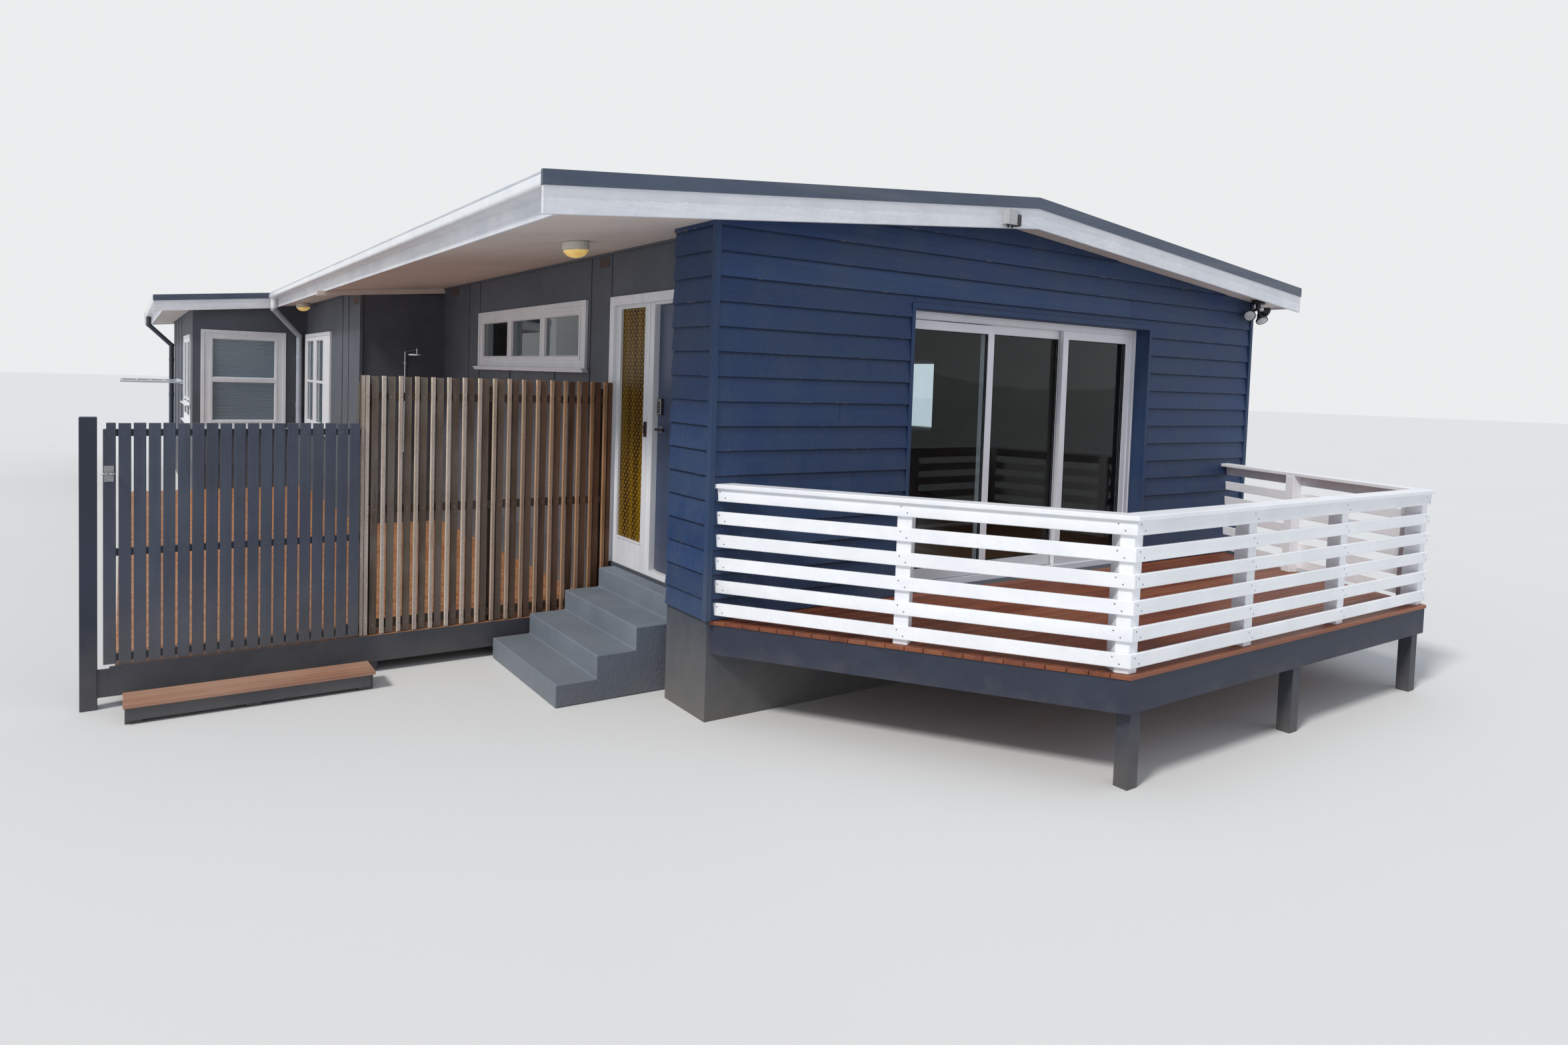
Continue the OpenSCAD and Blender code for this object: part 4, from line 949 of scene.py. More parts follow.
def buildCoverStrips(look):
    w, t, low, b = look["width"] / 2, look["thickness"], wallFoot, look["bead"]
    places = []

    def strip(axis, face, side, along, high):
        # upright strip on a wall that faces one way on the axis
        a, c = sorted((face, face + side * t))
        if axis == "x":
            places.append(((a, along - w, low), (c, along + w, high)))
        else:
            places.append(((along - w, a, low), (along + w, c, high)))

    for face, high, spots in ((entryX, 3.186, (6.17, 5.76, 2.62, 2.20)),
                              (entryX, 2.2, (4.70, 3.44)), (sideX, 3.095, (8.0, 8.41))):
        for y in spots:
            strip("x", face, -1, y, high)
    underWindow = farWindow[0] - fromSill
    for k in range(15):
        y = look["sheet"] * (k + 1)
        free = all(not s - look["clear"] < y < e + look["clear"] for s, e in look["windows"])
        strip("x", rightX, 1, y, 3.09 if free else underWindow)
    for k in range(7):
        x = -1.25 + k * look["sheet"]
        free = not backWindow[0] - look["clear"] < x < backWindow[1] + look["clear"]
        strip("y", backY, 1, x, roofHeight(x) - liningDrop - 0.02 if free else underWindow)
    for k in range(3):
        strip("x", wingX, -1, 14.9 + k * look["sheet"], 2.955)
    for face, side, y0, y1 in ((entryX, -1, 0.545, showerY), (sideX, -1, showerY, wingY),
                               (rightX, 1, 0.0, backY), (wingX, -1, wingY, backY)):
        top = roofHeight(face + side * b) - liningDrop - 0.001
        a, c = sorted((face, face + side * b))
        places.append(((a, y0, top - b), (c, y1, top)))
    places.append(((sideX, showerY - b, 3.09), (0.262, showerY, 3.09 + b)))
    places.append(((sideX - b, showerY - b, low), (sideX + b, 7.25, 3.095)))
    places.append(((sideX - b, 7.25, low), (sideX, 7.27, 3.095)))
    boxes("coverStrips", places, "wallSheet")


buildCoverStrips(stripLook)

grooveLook = {"count": 29, "width": 0.1, "gap": 0.004, "thickness": 0.009, "top": 2.955,
              "window": (12.0, 13.8)}


def buildGroovedCladding(look):
    # narrow upright boards round the wing's side window
    step = look["width"] + look["gap"]
    tall = look["top"] - wallFoot
    (y0, y1), (z0, z1) = look["window"], farWindow
    grown("wingCladding", rowTree, {
        "Count": look["count"], "First": (wingX - look["thickness"] / 2, wingY + step / 2,
                                          wallFoot + tall / 2), "Step": (0, step, 0),
        "Size": (look["thickness"], look["width"], tall), "Seed": 9}, "wallSheet",
        0.002, hole=((-2.4, y0, z0 - 0.025), (-2.0, y1, z1)))


buildGroovedCladding(grooveLook)
print("stage: sheet walls")


# windows: raised trim, sashes, blinds

windowList = {  # wall, its face and side, then from, to, low, high, lights and frame widths
    "high": ("x", entryX, -1, 2.66, 5.72, 2.229, 2.837, 3, 1, 0.16, 0.127, 0.118, 0),
    "side": ("x", sideX, -1, 9.2, 11.36, 1.23, 2.66, 2, 1, 0.13, 0.22, 0.11, 0.44),
    "wing": ("y", wingY, -1, -2.106, -0.971, 1.18, 2.67, 1, 2, 0.15, 0.066, 0.13, 0),
    "wingSide": ("x", wingX, -1, 12.0, 13.8, *farWindow, 2, 1, 0.13, 0.14, 0.11, 0),
    "rightFront": ("x", rightX, 1, 4.186, 5.986, *farWindow, 2, 1, 0.13, 0.14, 0.11, 0),
    "rightBack": ("x", rightX, 1, 11.284, 13.084, *farWindow, 2, 1, 0.13, 0.14, 0.11, 0),
    "back": ("y", backY, 1, *backWindow, *farWindow, 2, 1, 0.13, 0.14, 0.11, 0)}
sashLook = {"face": 0.02, "trim": 0.046, "trimRise": 0.008, "sash": 0.036, "sashRise": 0.004,
            "bead": 0.008, "sill": 0.034, "sillDepth": 0.052, "midRail": 0.019}


def windowLights(w):
    start, stop, low, high, columns, rows, edge, bar, edgeZ, near = w[3:]
    wide = (stop - start - near - edge * 2 - bar * (columns - 1)) / columns
    tall = (high - low - edgeZ * 2 - bar * (rows - 1)) / rows
    return [(start + edge + near + i * (wide + bar), low + edgeZ + j * (tall + bar), wide, tall)
            for i in range(columns) for j in range(rows)]


def wallBox(w, out0, out1, a0, a1, z0, z1):
    # box on a window's wall, given outwards, along and up
    low, high = sorted((w[1] + w[2] * out0, w[1] + w[2] * out1))
    if w[0] == "x":
        return ((low, a0, z0), (high, a1, z1))
    return ((a0, low, z0), (a1, high, z1))


def ring(w, out0, out1, a0, a1, z0, z1, width):
    return [wallBox(w, out0, out1, *side) for side in (
        (a0, a1, z1 - width, z1), (a0, a1, z0, z0 + width),
        (a0, a0 + width, z0 + width, z1 - width), (a1 - width, a1, z0 + width, z1 - width))]


def buildWindows(look):
    face, s, out = look["face"], look["sash"], look["sill"]
    trims, beads = [], []
    for label, w in windowList.items():
        start, stop, low, high = w[3:7]
        trims += ring(w, face, face + look["trimRise"], start, stop, low, high, look["trim"])
        trims.append(wallBox(w, face, face + look["sillDepth"], start - out, stop + out,
                             low - 0.004, low + 0.012))
        for a, z, wide, tall in windowLights(w):
            trims += ring(w, face, face + look["sashRise"], a - s, a + wide + s, z - s,
                          z + tall + s, s - 0.002)
            beads += ring(w, -0.003, 0.012, a, a + wide, z, z + tall, look["bead"])
            if label == "side":
                rail, mid = look["midRail"], z + tall * 0.5
                beads.append(wallBox(w, -0.003, 0.014, a + 0.009, a + wide - 0.009,
                                     mid - rail, mid + rail))
    boxes("windowSashes", trims, "windowPaint", 0.0025)
    boxes("glassBeads", beads, "windowPaint", 0.0015)


def buildBlinds(look):
    for label in ("side", "wing"):
        w = windowList[label]
        inner = w[1] - w[2] * look["depth"]
        for k, (a, z, wide, tall) in enumerate(windowLights(w)):
            middle, first, across = a + wide / 2, z + look["pitch"] / 2, wide - 0.012
            if w[0] == "x":
                place, size = (inner, middle, first), (look["width"], across, look["thick"])
                tilt = (0, look["tilt"], 0)
            else:
                place, size = (middle, inner, first), (across, look["width"], look["thick"])
                tilt = (-look["tilt"], 0, 0)
            grown(f"blind_{label}_{k}", rowTree, {
                "Count": int(tall / look["pitch"]), "First": place,
                "Step": (0, 0, look["pitch"]), "Size": size, "Tilt": tilt,
                "Turn": (0.006, 0.002, 0.0), "Seed": 20 + k}, "blindSlat")


buildWindows(sashLook)
buildBlinds({"pitch": 0.022, "width": 0.025, "thick": 0.0008, "depth": 0.034, "tilt": 0.8})
print("stage: windows")


# roof screws, and rivets along the barge cappings

def buildRoofFixings(look):
    for name, side, runs, normal in look["slopes"]:
        spots = []
        for first, count, reach in runs:
            for k in range(count):
                d = look["start"]
                while d < reach:
                    x = roofLine["ridgeX"] + side * d
                    spots.append((x, first + k * look["pitch"], roofHeight(x) - look["sink"]))
                    d += look["every"]
        heads(name, spots, tuple(normal), "roofSteel", 0.0085, 0.003, 6)
    along = (-1.1 + 0.62 * k for k in range(13))
    heads("capRivets", [(x, -0.259, roofHeight(x) - 0.062) for x in along], (0, -1, 0),
          "capSteel", 0.004, 0.002)


buildRoofFixings({"pitch": 0.19, "every": 0.93, "start": 0.26, "sink": 0.0082, "slopes": (
    ("roofScrewsLeft", -1, ((-0.1375, 61, 3.74), (11.4975, 37, 5.21)), slopeUp),
    ("roofScrewsRight", 1, ((-0.21, 99, 3.79),), slopeDown))})


# decks

frontCorners = ((0, 0), (1.44, -2.09), (5.09, -2.09), (5.83, 0))   # plan of the front deck
frontDeck = {"width": 0.09, "gap": 0.0048, "top": 0.655, "thick": 0.025, "inset": 0.01,
             "long": 6.4, "out": 2.08}
sideDeck = {"width": 0.09, "gap": 0.005, "top": 0.268, "thick": 0.025}
plankPlay = {"Shift": (0, 0.0006, 0.0004), "Turn": (0.004, 0, 0.0001)}


def edgePlane(a, b, inset):
    # upright plane through two plan points, kept side on the left of a to b, set in
    along = Vector((b[0] - a[0], b[1] - a[1], 0)).normalized()
    out = Vector((along.y, -along.x, 0))
    return (Vector((*a, 0)) - out * inset, out)


def buildFrontDeck(look):
    c, wide = frontCorners, look["width"]
    step = wide + look["gap"]
    count = int((look["out"] + look["gap"]) / step) + 1
    first = -0.003 - wide / 2
    grown("deckPlanks", rowTree, {
        **plankPlay, "Count": count, "First": (2.9, first, look["top"] - look["thick"] / 2),
        "Step": (0, -step, 0), "Size": (look["long"], wide, look["thick"]), "Seed": 31},
        "deckTimber", 0.0025, replaces=("deck_boards",),
        planes=[edgePlane(c[0], c[1], look["inset"]), edgePlane(c[2], c[3], look["inset"]),
                (Vector((0, -look["out"], 0)), Vector((0, -1, 0)))])
    spots = []
    for k in range(count):
        y = first - k * step
        left = y * c[1][0] / c[1][1] + 0.06
        right = c[3][0] + y * (c[3][0] - c[2][0]) / -c[2][1] - 0.06
        for n in range(14):
            x = 0.32 + n * 0.43
            if left < x < right:
                spots += [(x, y + side, look["top"] + 0.0003) for side in (-0.026, 0.026)]
    heads("deckScrews", spots, (0, 0, 1), "agedZinc", 0.0038, 0.0008, 6, 0.003)


def buildSideDeck(look):
    step, first, count = look["width"] + look["gap"], 2.046, 55
    for name, y0, rows, right, standsFor in (
            ("sideDeckPlanks", first, count, entryX - 0.001, ("side_deck",)),
            ("sideDeckPlanksBack", first + count * step, 45, sideX - 0.001, ())):
        left = -3.09
        grown(name, rowTree, {
            **plankPlay, "Count": rows, "Step": (0, step, 0), "Seed": 41,
            "First": ((left + right) / 2, y0 + look["width"] / 2,
                      look["top"] - look["thick"] / 2),
            "Size": (right - left, look["width"], look["thick"])}, "sideTimber",
            0.0025, planes=[(Vector((0, wingY, 0)), Vector((0, 1, 0)))],
            replaces=standsFor)


buildFrontDeck(frontDeck)
buildSideDeck(sideDeck)
print("stage: decks")


# screws where the railing boards cross their posts

def buildRailScrews(look):
    a, b, c, d = frontCorners
    for name, start, stop, stops in (
            ("leftRailScrews", a, b, (0.03, 0.49, 0.965)),
            ("frontRailScrews", b, c, (0.018, 0.33, 0.646, 0.982)),
            ("rightRailScrews", d, c, (0.03, 0.42, 0.965))):
        start, stop = Vector((*start, 0)), Vector((*stop, 0))
        along = (stop - start).normalized()
        out = Vector((along.y, -along.x, 0))
        if out.dot(Vector((3, -1, 0)) - start) > 0:
            out = -out
        spots = []
        for share in stops:
            p = start.lerp(stop, share) - out * look["face"]
            for top in look["tops"]:
                for side, drop in ((-0.02, 0.022), (0.018, 0.058)):
                    q = p + along * side
                    spots.append((q.x, q.y, top - drop))
        heads(name, spots, tuple(out), "agedZinc", 0.0045, 0.0016)


buildRailScrews({"tops": (1.502, 1.354, 1.208, 1.062, 0.916, 0.770), "face": 0.0196})


# batten screen and picket gate

screenLook = {"left": -1.665, "wide": 1.92, "count": 17, "front": 2.036, "bottom": 0.27,
              "top": 2.137, "rails": (0.31, 1.14, 1.955), "edge": 0.026, "flat": 0.048,
              "post": 0.09}


def litFaces(thing, facing, material):
    # a paler copy of the finish on the faces that look one way, as painted light
    addFinish(thing.data, material, lambda face: face.normal.dot(Vector(facing)) > 0.8)


def buildScreen(look):
    edge, flat, low, high = look["edge"], look["flat"], look["bottom"], look["top"]
    pitch = (look["wide"] - edge * 2 - 0.052) / (look["count"] - 1)
    left, right, y = look["left"], look["left"] + look["wide"], look["front"]
    x, tall, middle = left + edge + 0.002, high - low, low + (high - low) / 2
    shared = {"Count": look["count"], "Step": (pitch, 0, 0)}
    onEdge = grown("screenBattens", rowTree, {
        **shared, "First": (x + edge / 2, y + 0.031, middle),
        "Size": (edge, 0.0335, tall - 0.004), "Shift": (0.0015, 0, 0.002),
        "Turn": (0.0, 0.0009, 0.02), "Seed": 51}, "battenTimber", 0.0018, 2,
        replaces=("batten_screen",))
    # the battens' front and left faces take the paler copies: painted light
    litFaces(onEdge, (0, -1, 0), "litBattenFront")
    litFaces(onEdge, (-1, 0, 0), "litBattenSide")
    grown("screenBoards", rowTree, {
        **shared, "First": (x + edge + 0.014 + flat / 2, y + 0.038, middle - 0.003),
        "Size": (flat, 0.0195, tall - 0.01), "Shift": (0.003, 0.0, 0.002),
        "Turn": (0.0, 0.0009, 0.01), "Seed": 57}, "battenTimber", 0.0018,
        planes=[(Vector((right, 0, 0)), Vector((1, 0, 0)))])
    litFaces(boxes("screenEndBatten", [((left, y + 0.0142, low),
                                         (left + edge, y + 0.0478, high - 0.003))],
                    "battenTimber"), (0, -1, 0), "litBattenFront")
    places = [((left + 0.012, y + 0.0482, z), (right - 0.012, y + 0.083, z + 0.06))
              for z in look["rails"]]
    post = look["post"]
    places += [((p, y + 0.0832, 0.2685), (p + post, y + 0.173, high - 0.06))
               for p in (left, (right + left - post) / 2, right - post)]
    boxes("screenFrame", places, "frameTimber", 0.003)
    spots = [(x + first + k * pitch, y + out, z + 0.03)
             for first, count, out in ((edge / 2, look["count"], 0.0138),
                                       (edge + 0.038, look["count"] - 1, 0.0278))
             for k in range(count) for z in look["rails"]]
    heads("screenScrews", spots, (0, -1, 0), "agedZinc", 0.0042, 0.0014,
          scatter=0.003)


gateLook = {"left": -3.15, "right": -1.673, "count": 19, "width": 0.066, "front": 2.036,
            "bottom": 0.278, "top": 1.797, "rails": (0.294, 0.96, 1.712), "proud": 6}


def buildGate(look):
    left, right, y, high = look["left"], look["right"], look["front"], look["top"]
    first = left + look["width"] / 2
    step = (right - left - look["width"]) / (look["count"] - 1)
    tall = high - look["bottom"]
    grown("gatePickets", rowTree, {
        "Count": look["count"], "First": (first, y + 0.009, look["bottom"] + tall / 2),
        "Step": (step, 0, 0), "Size": (look["width"], 0.0178, tall - 0.003),
        "Shift": (0.001, 0.0, 0.0015), "Turn": (0.0, 0.0006, 0.004), "Seed": 61},
        "picketPaint", 0.0022, body="side_gate", replaces=("picket_gate",),
        hole=((left - 0.02, y - 0.02, high - 0.045), (left + 0.016, y + 0.03, high + 0.02)))
    boxes("gateRails", [((left, y + 0.0182, z), (right, y + 0.053, z + 0.044))
                        for z in look["rails"]], "picketPaint", 0.003,
          body="side_gate")
    plain = look["count"] - look["proud"]
    for name, start, stop, radius, rise in (  # the last few stand proud of the wood
            ("gateScrews", 0, plain, 0.0034, 0.0012),
            ("gateScrewsProud", plain, look["count"], 0.0042, 0.0050)):
        spots = [(first + k * step, y - 0.0002, z + 0.021)
                 for k in range(start, stop) for z in look["rails"]]
        # heads lighter than the picket paint on them: painted highlight
        heads(name, spots, (0, -1, 0), "headPaintHighlight", radius, rise, 10, 0.0025,
              "side_gate")


def hingeBarrel(name, pin, z, tall, leaf, body):
    # knuckle with its fixing plate, between two places beside the pin
    x, y = pin
    bm = bmesh.new()
    made = bmesh.ops.create_cone(bm, cap_ends=True, segments=20, radius1=0.007, radius2=0.007,
                                 depth=tall)["verts"]
    bmesh.ops.translate(bm, vec=(x, y, z + tall / 2), verts=made)
    boxInto(bm, (x + leaf[0], y - 0.008, z), (x + leaf[1], y - 0.004, z + tall))
    enter(bake(addObject(name, meshFrom(bm, name, "agedZinc")), 0.001), body)


def buildHinges(look):
    for k, z in enumerate(look["heights"]):
        hingeBarrel(f"screenHinge{k}", look["pin"], z, look["tall"], (0, 0.04), "house")
        hingeBarrel(f"gateHinge{k}", look["pin"], z + look["tall"] + 0.0003, look["tall"],
                    (-0.14, 0), "side_gate")


def buildStep(look):
    x0, x1 = look["planks"]
    boxes("stepPlanks", [((x0, 1.640, 0.102), (x1, 1.7665, 0.130)),
                         ((x0, 1.7735, 0.102), (x1, 1.900, 0.130))], "stepTimber",
          0.003, replaces=("timber_step",))
    boxes("stepFrame", [((-3.04, y, 0.022), (-1.66, y + 0.02, 0.102)) for y in look["sides"]] +
          [((x, 1.6722, 0.0), (x + 0.09, 1.8678, 0.1018)) for x in look["feet"]],
          "darkPaint", 0.003)


buildScreen(screenLook)
buildGate(gateLook)
boxes("gateBoltPlate", [((-3.146, 2.0325, 1.43), (-3.094, 2.0358, 1.53)),
                        ((-3.146, 2.0195, 1.469), (-3.140, 2.0325, 1.491)),
                        ((-3.104, 2.0195, 1.469), (-3.098, 2.0325, 1.491)),
                        ((-3.128, 2.0120, 1.474), (-3.118, 2.0250, 1.486))], "agedZinc",
      0.001, body="side_gate")
buildHinges({"pin": (-1.669, 2.097), "tall": 0.04, "heights": (0.28, 1.672)})
buildStep({"planks": (-3.05, -1.632), "sides": (1.652, 1.868), "feet": (-3.04, -2.4, -1.732)})
print("stage: screen and gate")


# lamps, box, vents and door hardware

def turned(name, profile, place, axis, material, sides=40, body="house", replaces=()):
    # body of revolution from (radius, height) points, along an axis from a place
    bm = bmesh.new()
    spin = Vector((0, 0, 1)).rotation_difference(Vector(axis)).to_matrix()
    rings = []
    for radius, height in profile:
        count = sides if radius > 1e-6 else 1
        angles = [2 * math.pi * k / sides for k in range(count)]
        rings.append([bm.verts.new(spin @ Vector((
            radius * math.cos(a), radius * math.sin(a), height)) + Vector(place))
            for a in angles])
    for a, b in zip(rings, rings[1:]):
        for k in range(sides):
            j = (k + 1) % sides
            if len(a) == 1:
                bm.faces.new((a[0], b[j], b[k]))
            elif len(b) == 1:
                bm.faces.new((a[k], a[j], b[0]))
            else:
                bm.faces.new((a[k], a[j], b[j], b[k]))
    for edgeRing in (rings[0], rings[-1]):
        if len(edgeRing) > 1:
            bm.faces.new(edgeRing)
    bmesh.ops.recalc_face_normals(bm, faces=bm.faces[:])
    for face in bm.faces:
        face.smooth = len(face.verts) <= 4
    mesh = meshFrom(bm, name, material)
    mesh.set_sharp_from_angle(angle=math.radians(38))
    return enter(addObject(name, mesh), body, replaces)


def bowlProfile(radius, depth, top, steps=12):
    # half-round bowl that hangs from a flat top
    return [(radius * math.cos(a), top - depth * math.sin(a))
            for a in (math.pi / 2 * k / steps for k in range(steps + 1))]


def buildEaveLights(look):
    r = look["radius"]
    base = [(r * wide, height) for wide, height in look["base"]]
    lip = [(r * wide, height) for wide, height in look["lip"]]
    bowl = bowlProfile(r * 0.94, look["drop"], -0.051)
    for k, (x, y) in enumerate(look["places"]):
        top = Vector((x, y, roofHeight(x) - liningDrop - 0.0002))
        for name, profile, material in (("eaveRing", base, "coverCream"),
                                        ("eaveBowl", bowl, "warmGlass"),
                                        ("eaveLip", lip, "coverCream")):
            standsFor = ("eave_lights",) if k == 0 and name == "eaveRing" else ()
            turned(f"{name}{k}", profile, top, slopeUp, material,
                   replaces=standsFor)


buildEaveLights({
    "places": ((-0.359, 1.420), (-0.865, 10.570)), "radius": 0.098, "drop": 0.066,
    "base": ((0.86, 0), (0.98, -0.004), (1.0, -0.03), (1.0, -0.046), (0.97, -0.052),
             (0.80, -0.052)),
    "lip": ((0.955, -0.049), (0.985, -0.053), (0.985, -0.058), (0.945, -0.062))})


def buildFloodLight(look):
    softened("flood_light", "floodLight", "blackCoat", 0.0012)
    x, y = look["base"]
    base = Vector((x, y, roofHeight(x) - liningDrop))
    for k, (place, lean, around) in enumerate(look["lamps"]):
        a, b = math.radians(lean), math.radians(around)
        aim = Vector((math.sin(a) * math.cos(b), math.sin(a) * math.sin(b), math.cos(a)))
        for name, material in (("Lens", "lampGlass"), ("Rim", "blackCoat")):
            turned(f"flood{name}{k}", look[name], base + Vector(place), aim, material)
    turned("floodSensor", look["sensor"], base + Vector((0.0, -0.0235, -0.080)),
           (0.1, -1, -0.35), "whitePlastic", 28)


buildFloodLight({
    "base": (6.0, -0.125), "lamps": (((-0.088, 0.030, -0.150), 112, 215),
                                     ((-0.030, -0.062, -0.196), 142, 245),
                                     ((0.084, -0.038, -0.112), 118, 330)),
    "Lens": ((0.0475, 0.0002), (0.0465, 0.003), (0.036, 0.009), (0.018, 0.0125), (0, 0.0135)),
    "Rim": ((0.0535, -0.001), (0.0538, 0.004), (0.0490, 0.0045), (0.0478, 0.0004)),
    "sensor": ((0.021, 0), (0.021, 0.014), (0.018, 0.022), (0.010, 0.028), (0, 0.030))})


def buildJunctionBox(look):
    x0, x1, y, z0, z1 = look["box"]
    boxes("boxLid", [((x0 - 0.0035, y - 0.006, z0 - 0.003),
                      (x1 - 0.043, y + 0.007, z1 + 0.003))], "greyPlastic", 0.003, 2)
    boxes("boxDark", [((x1 - 0.040, y - 0.003, z0 - 0.006),
                       (x1 + 0.004, y + 0.05, z1 - 0.030))], "darkPlastic", 0.003, 2)
    ribs = [z0 + 0.004 + k * look["ribPitch"] for k in range(look["ribs"])]
    boxes("boxRibs", [((x1 - 0.034, y - 0.0052, z), (x1 - 0.002, y - 0.0028, z + 0.005))
                      for z in ribs], "darkPlastic", 0.0008)
    heads("boxScrews", [(x, y - 0.0062, z) for x in (x0 + 0.008, x1 - 0.052)
                        for z in (z0 + 0.01, z1 - 0.01)], (0, -1, 0), "agedZinc",
          0.0034, 0.0016, 10)
    for k in (0, 1):
        turned(f"boxGland{k}", look["gland"], (x0 + 0.03 + k * 0.04, y + 0.03, z0 + 0.0005),
               (0, 0, 1), "rubberBlackAndSlotShade", 18)


buildJunctionBox({"box": (2.257, 2.387, -0.315, 3.390, 3.498), "ribs": 6, "ribPitch": 0.011,
                  "gland": ((0.010, 0), (0.010, -0.012), (0.007, -0.016), (0.007, -0.022))})


def buildVents(look):
    plates, slots = [], []
    for x, y0, y1, z0, z1 in look["places"]:
        plates.append(((x - 0.0018, y0 + 0.002, z0 + 0.002), (x + 0.004, y1 - 0.002,
                                                              z1 - 0.002)))
        for r in range(look["rows"]):
            z = z0 + (z1 - z0) * (r + 0.5) / look["rows"]
            for k in range(int((y1 - y0 - 0.03) / look["pitch"])):
                y = y0 + 0.018 + k * look["pitch"]
                slots.append(((x - 0.0024, y, z - 0.006), (x - 0.0012, y + 0.014, z + 0.006)))
    boxes("ventPlates", plates, "ventBrick", 0.0012)
    # black patches stand for the open slots: painted shade
    boxes("ventSlots", slots, "rubberBlackAndSlotShade", 0.0003)


buildVents({"rows": 3, "pitch": 0.026, "places": (
    (0.268, 2.206, 2.431, 3.090, 3.165), (0.268, 6.610, 6.835, 3.090, 3.165),
    (-0.707, 7.300, 7.640, 2.960, 3.040))})


def buildDoorHardware(look):
    # lever sets and keypad on the leaf, the sidelight's catch and beads on the frame
    y, z = look["lever"]
    for k, (x, side) in enumerate(((0.330, -1), (0.370, 1))):
        turned(f"leverRose{k}", look["rose"], (x, y, z), (side, 0, 0), "satinSteel",
               body="front_door")
    x = look["keypad"]
    boxes("keypadFace", [((x - 0.0016, 1.305, 1.9035), (x + 0.004, 1.365, 2.0215))],
          "satinSteel", 0.0012, body="front_door")
    keys = [(1.3125 + c * 0.0165, 1.918 + r * 0.0175) for c in range(3) for r in range(5)]
    boxes("keypadKeys", [((x - 0.0034, y, z), (x - 0.0014, y + 0.013, z + 0.013))
                         for y, z in keys], "darkPlastic", 0.0008,
          body="front_door")
    boxes("doorEdges", [((0.3292, 0.5835, 0.715), (0.3302, 1.3915, 0.722))], "doorPaint",
          0.0, body="front_door")
    f = look["frame"]
    for name, parts, material, slot, bevel in (
            ("entryBeads", look["beads"], "windowPaint", "trim_white", 0.0022),
            ("sidelightCatch", look["catch"], "rustBrown", "metal_fittings", 0.002)):
        boxes(name, [((f - out, y0, z0), (f + back, y1, z1))
                     for out, back, y0, y1, z0, z1 in parts], material, bevel, 2)


buildDoorHardware({
    "lever": (1.335, 1.790), "keypad": 0.306, "frame": 0.290,
    "rose": ((0.0283, 0.0), (0.0283, 0.008), (0.026, 0.0112), (0.012, 0.0114), (0.012, 0.013)),
    "beads": (  # outwards, inwards, then from and to along the wall and up
        (0.006, 0.010, 1.545, 1.5605, 0.868, 2.742),
        (0.006, 0.010, 1.9975, 2.013, 0.868, 2.742),
        (0.006, 0.010, 1.5605, 1.9975, 0.866, 0.8815),
        (0.006, 0.010, 1.5605, 1.9975, 2.7285, 2.742),
        (0.0075, 0.004, 1.478, 1.486, 0.700, 2.7555),
        (0.005, 0.004, 1.4015, 1.409, 0.700, 2.7555),
        (0.004, 0.004, 2.0500, 2.0575, 0.700, 2.7555)),
    "catch": ((0.012, 0.001, 1.497, 1.538, 1.722, 1.838),
              (0.021, -0.010, 1.507, 1.527, 1.748, 1.812),
              (0.007, 0.001, 1.487, 1.4975, 1.745, 1.782))})


def buildSliderDetails(look):
    # sill tracks, gaskets round the panes, head steps and edge strips on the panes
    x0, x1, top, low = sliderLeft, sliderRight, sliderTop, floorTop
    boxes("sillTracks", [((x0 + 0.061, y - 0.0015, low), (x1 - 0.061, y + 0.0015, low + 0.0125))
                         for y in look["tracks"]], "satinSteel", 0.0006)
    boxes("frameSteps", [
        ((x0 + 0.001, 0.1095, top - 0.024), (x1 - 0.001, 0.1155, top - 0.001)),
        ((x0 + 0.001, 0.1115, top - 0.060), (x1 - 0.001, 0.1155, top - 0.056)),
        ((x0 - 0.0005, 0.1095, low), (x0 + 0.014, 0.1155, top - 0.024)),
        ((x1 - 0.014, 0.1095, low), (x1 + 0.0005, 0.1155, top - 0.024))],
        "frameCoat", 0.0014)
    side, foot, g = look["stile"], look["bottomRail"], look["gasket"]
    for name, body, x, y, wide, z, tall in look["panes"]:
        a, b, c, d = x + side, x + wide - side, z + foot, z + tall - side
        strips = []
        for face in (y + 0.0045, y + 0.0235):
            back = face + 0.008
            strips += [((a, face, c), (a + g, back, d)), ((b - g, face, c), (b, back, d)),
                       ((a + g, face, c), (b - g, back, c + g)),
                       ((a + g, face, d - g), (b - g, back, d))]
        boxes(name + "Gaskets", strips, "rubberBlackAndSlotShade", 0.0008, body=body)
        boxes(name + "Edges", [((e, y - 0.0012, z + 0.004), (e + 0.004, y + 0.001,
                                                             z + tall - 0.004))
                               for e in (x + 0.004, x + wide - 0.008)], "frameCoat",
              0.0005, body=body)


buildSliderDetails({"tracks": (0.140, 0.188), "stile": 0.068, "bottomRail": 0.095,
                    "gasket": 0.006, "panes": (
    ("leaf", "sliding_panel", 1.7160, 0.122, 0.915, 0.7060, 1.9730),
    ("middle", "house", 2.5630, 0.170, 0.9660, floorTop, 1.9850),
    ("fixed", "house", 3.4610, 0.122, 0.915, floorTop, 1.9850))})
turned("gateBoltRod", [(0.0052, 0), (0.0055, 0.001), (0.0055, 0.068), (0.004, 0.070)],
       (-3.090, 2.0262, 1.480), (-1, 0, 0), "satinSteel", 18, "side_gate")
turned("latchDot", [(0.0062, 0), (0.0062, 0.0012), (0.004, 0.0018)], (1.747, 0.1, 1.668),
       (0, -1, 0), "rubberBlackAndSlotShade", 20, "sliding_panel")
print("stage: fittings")


# downpipes, lining trims and the shower

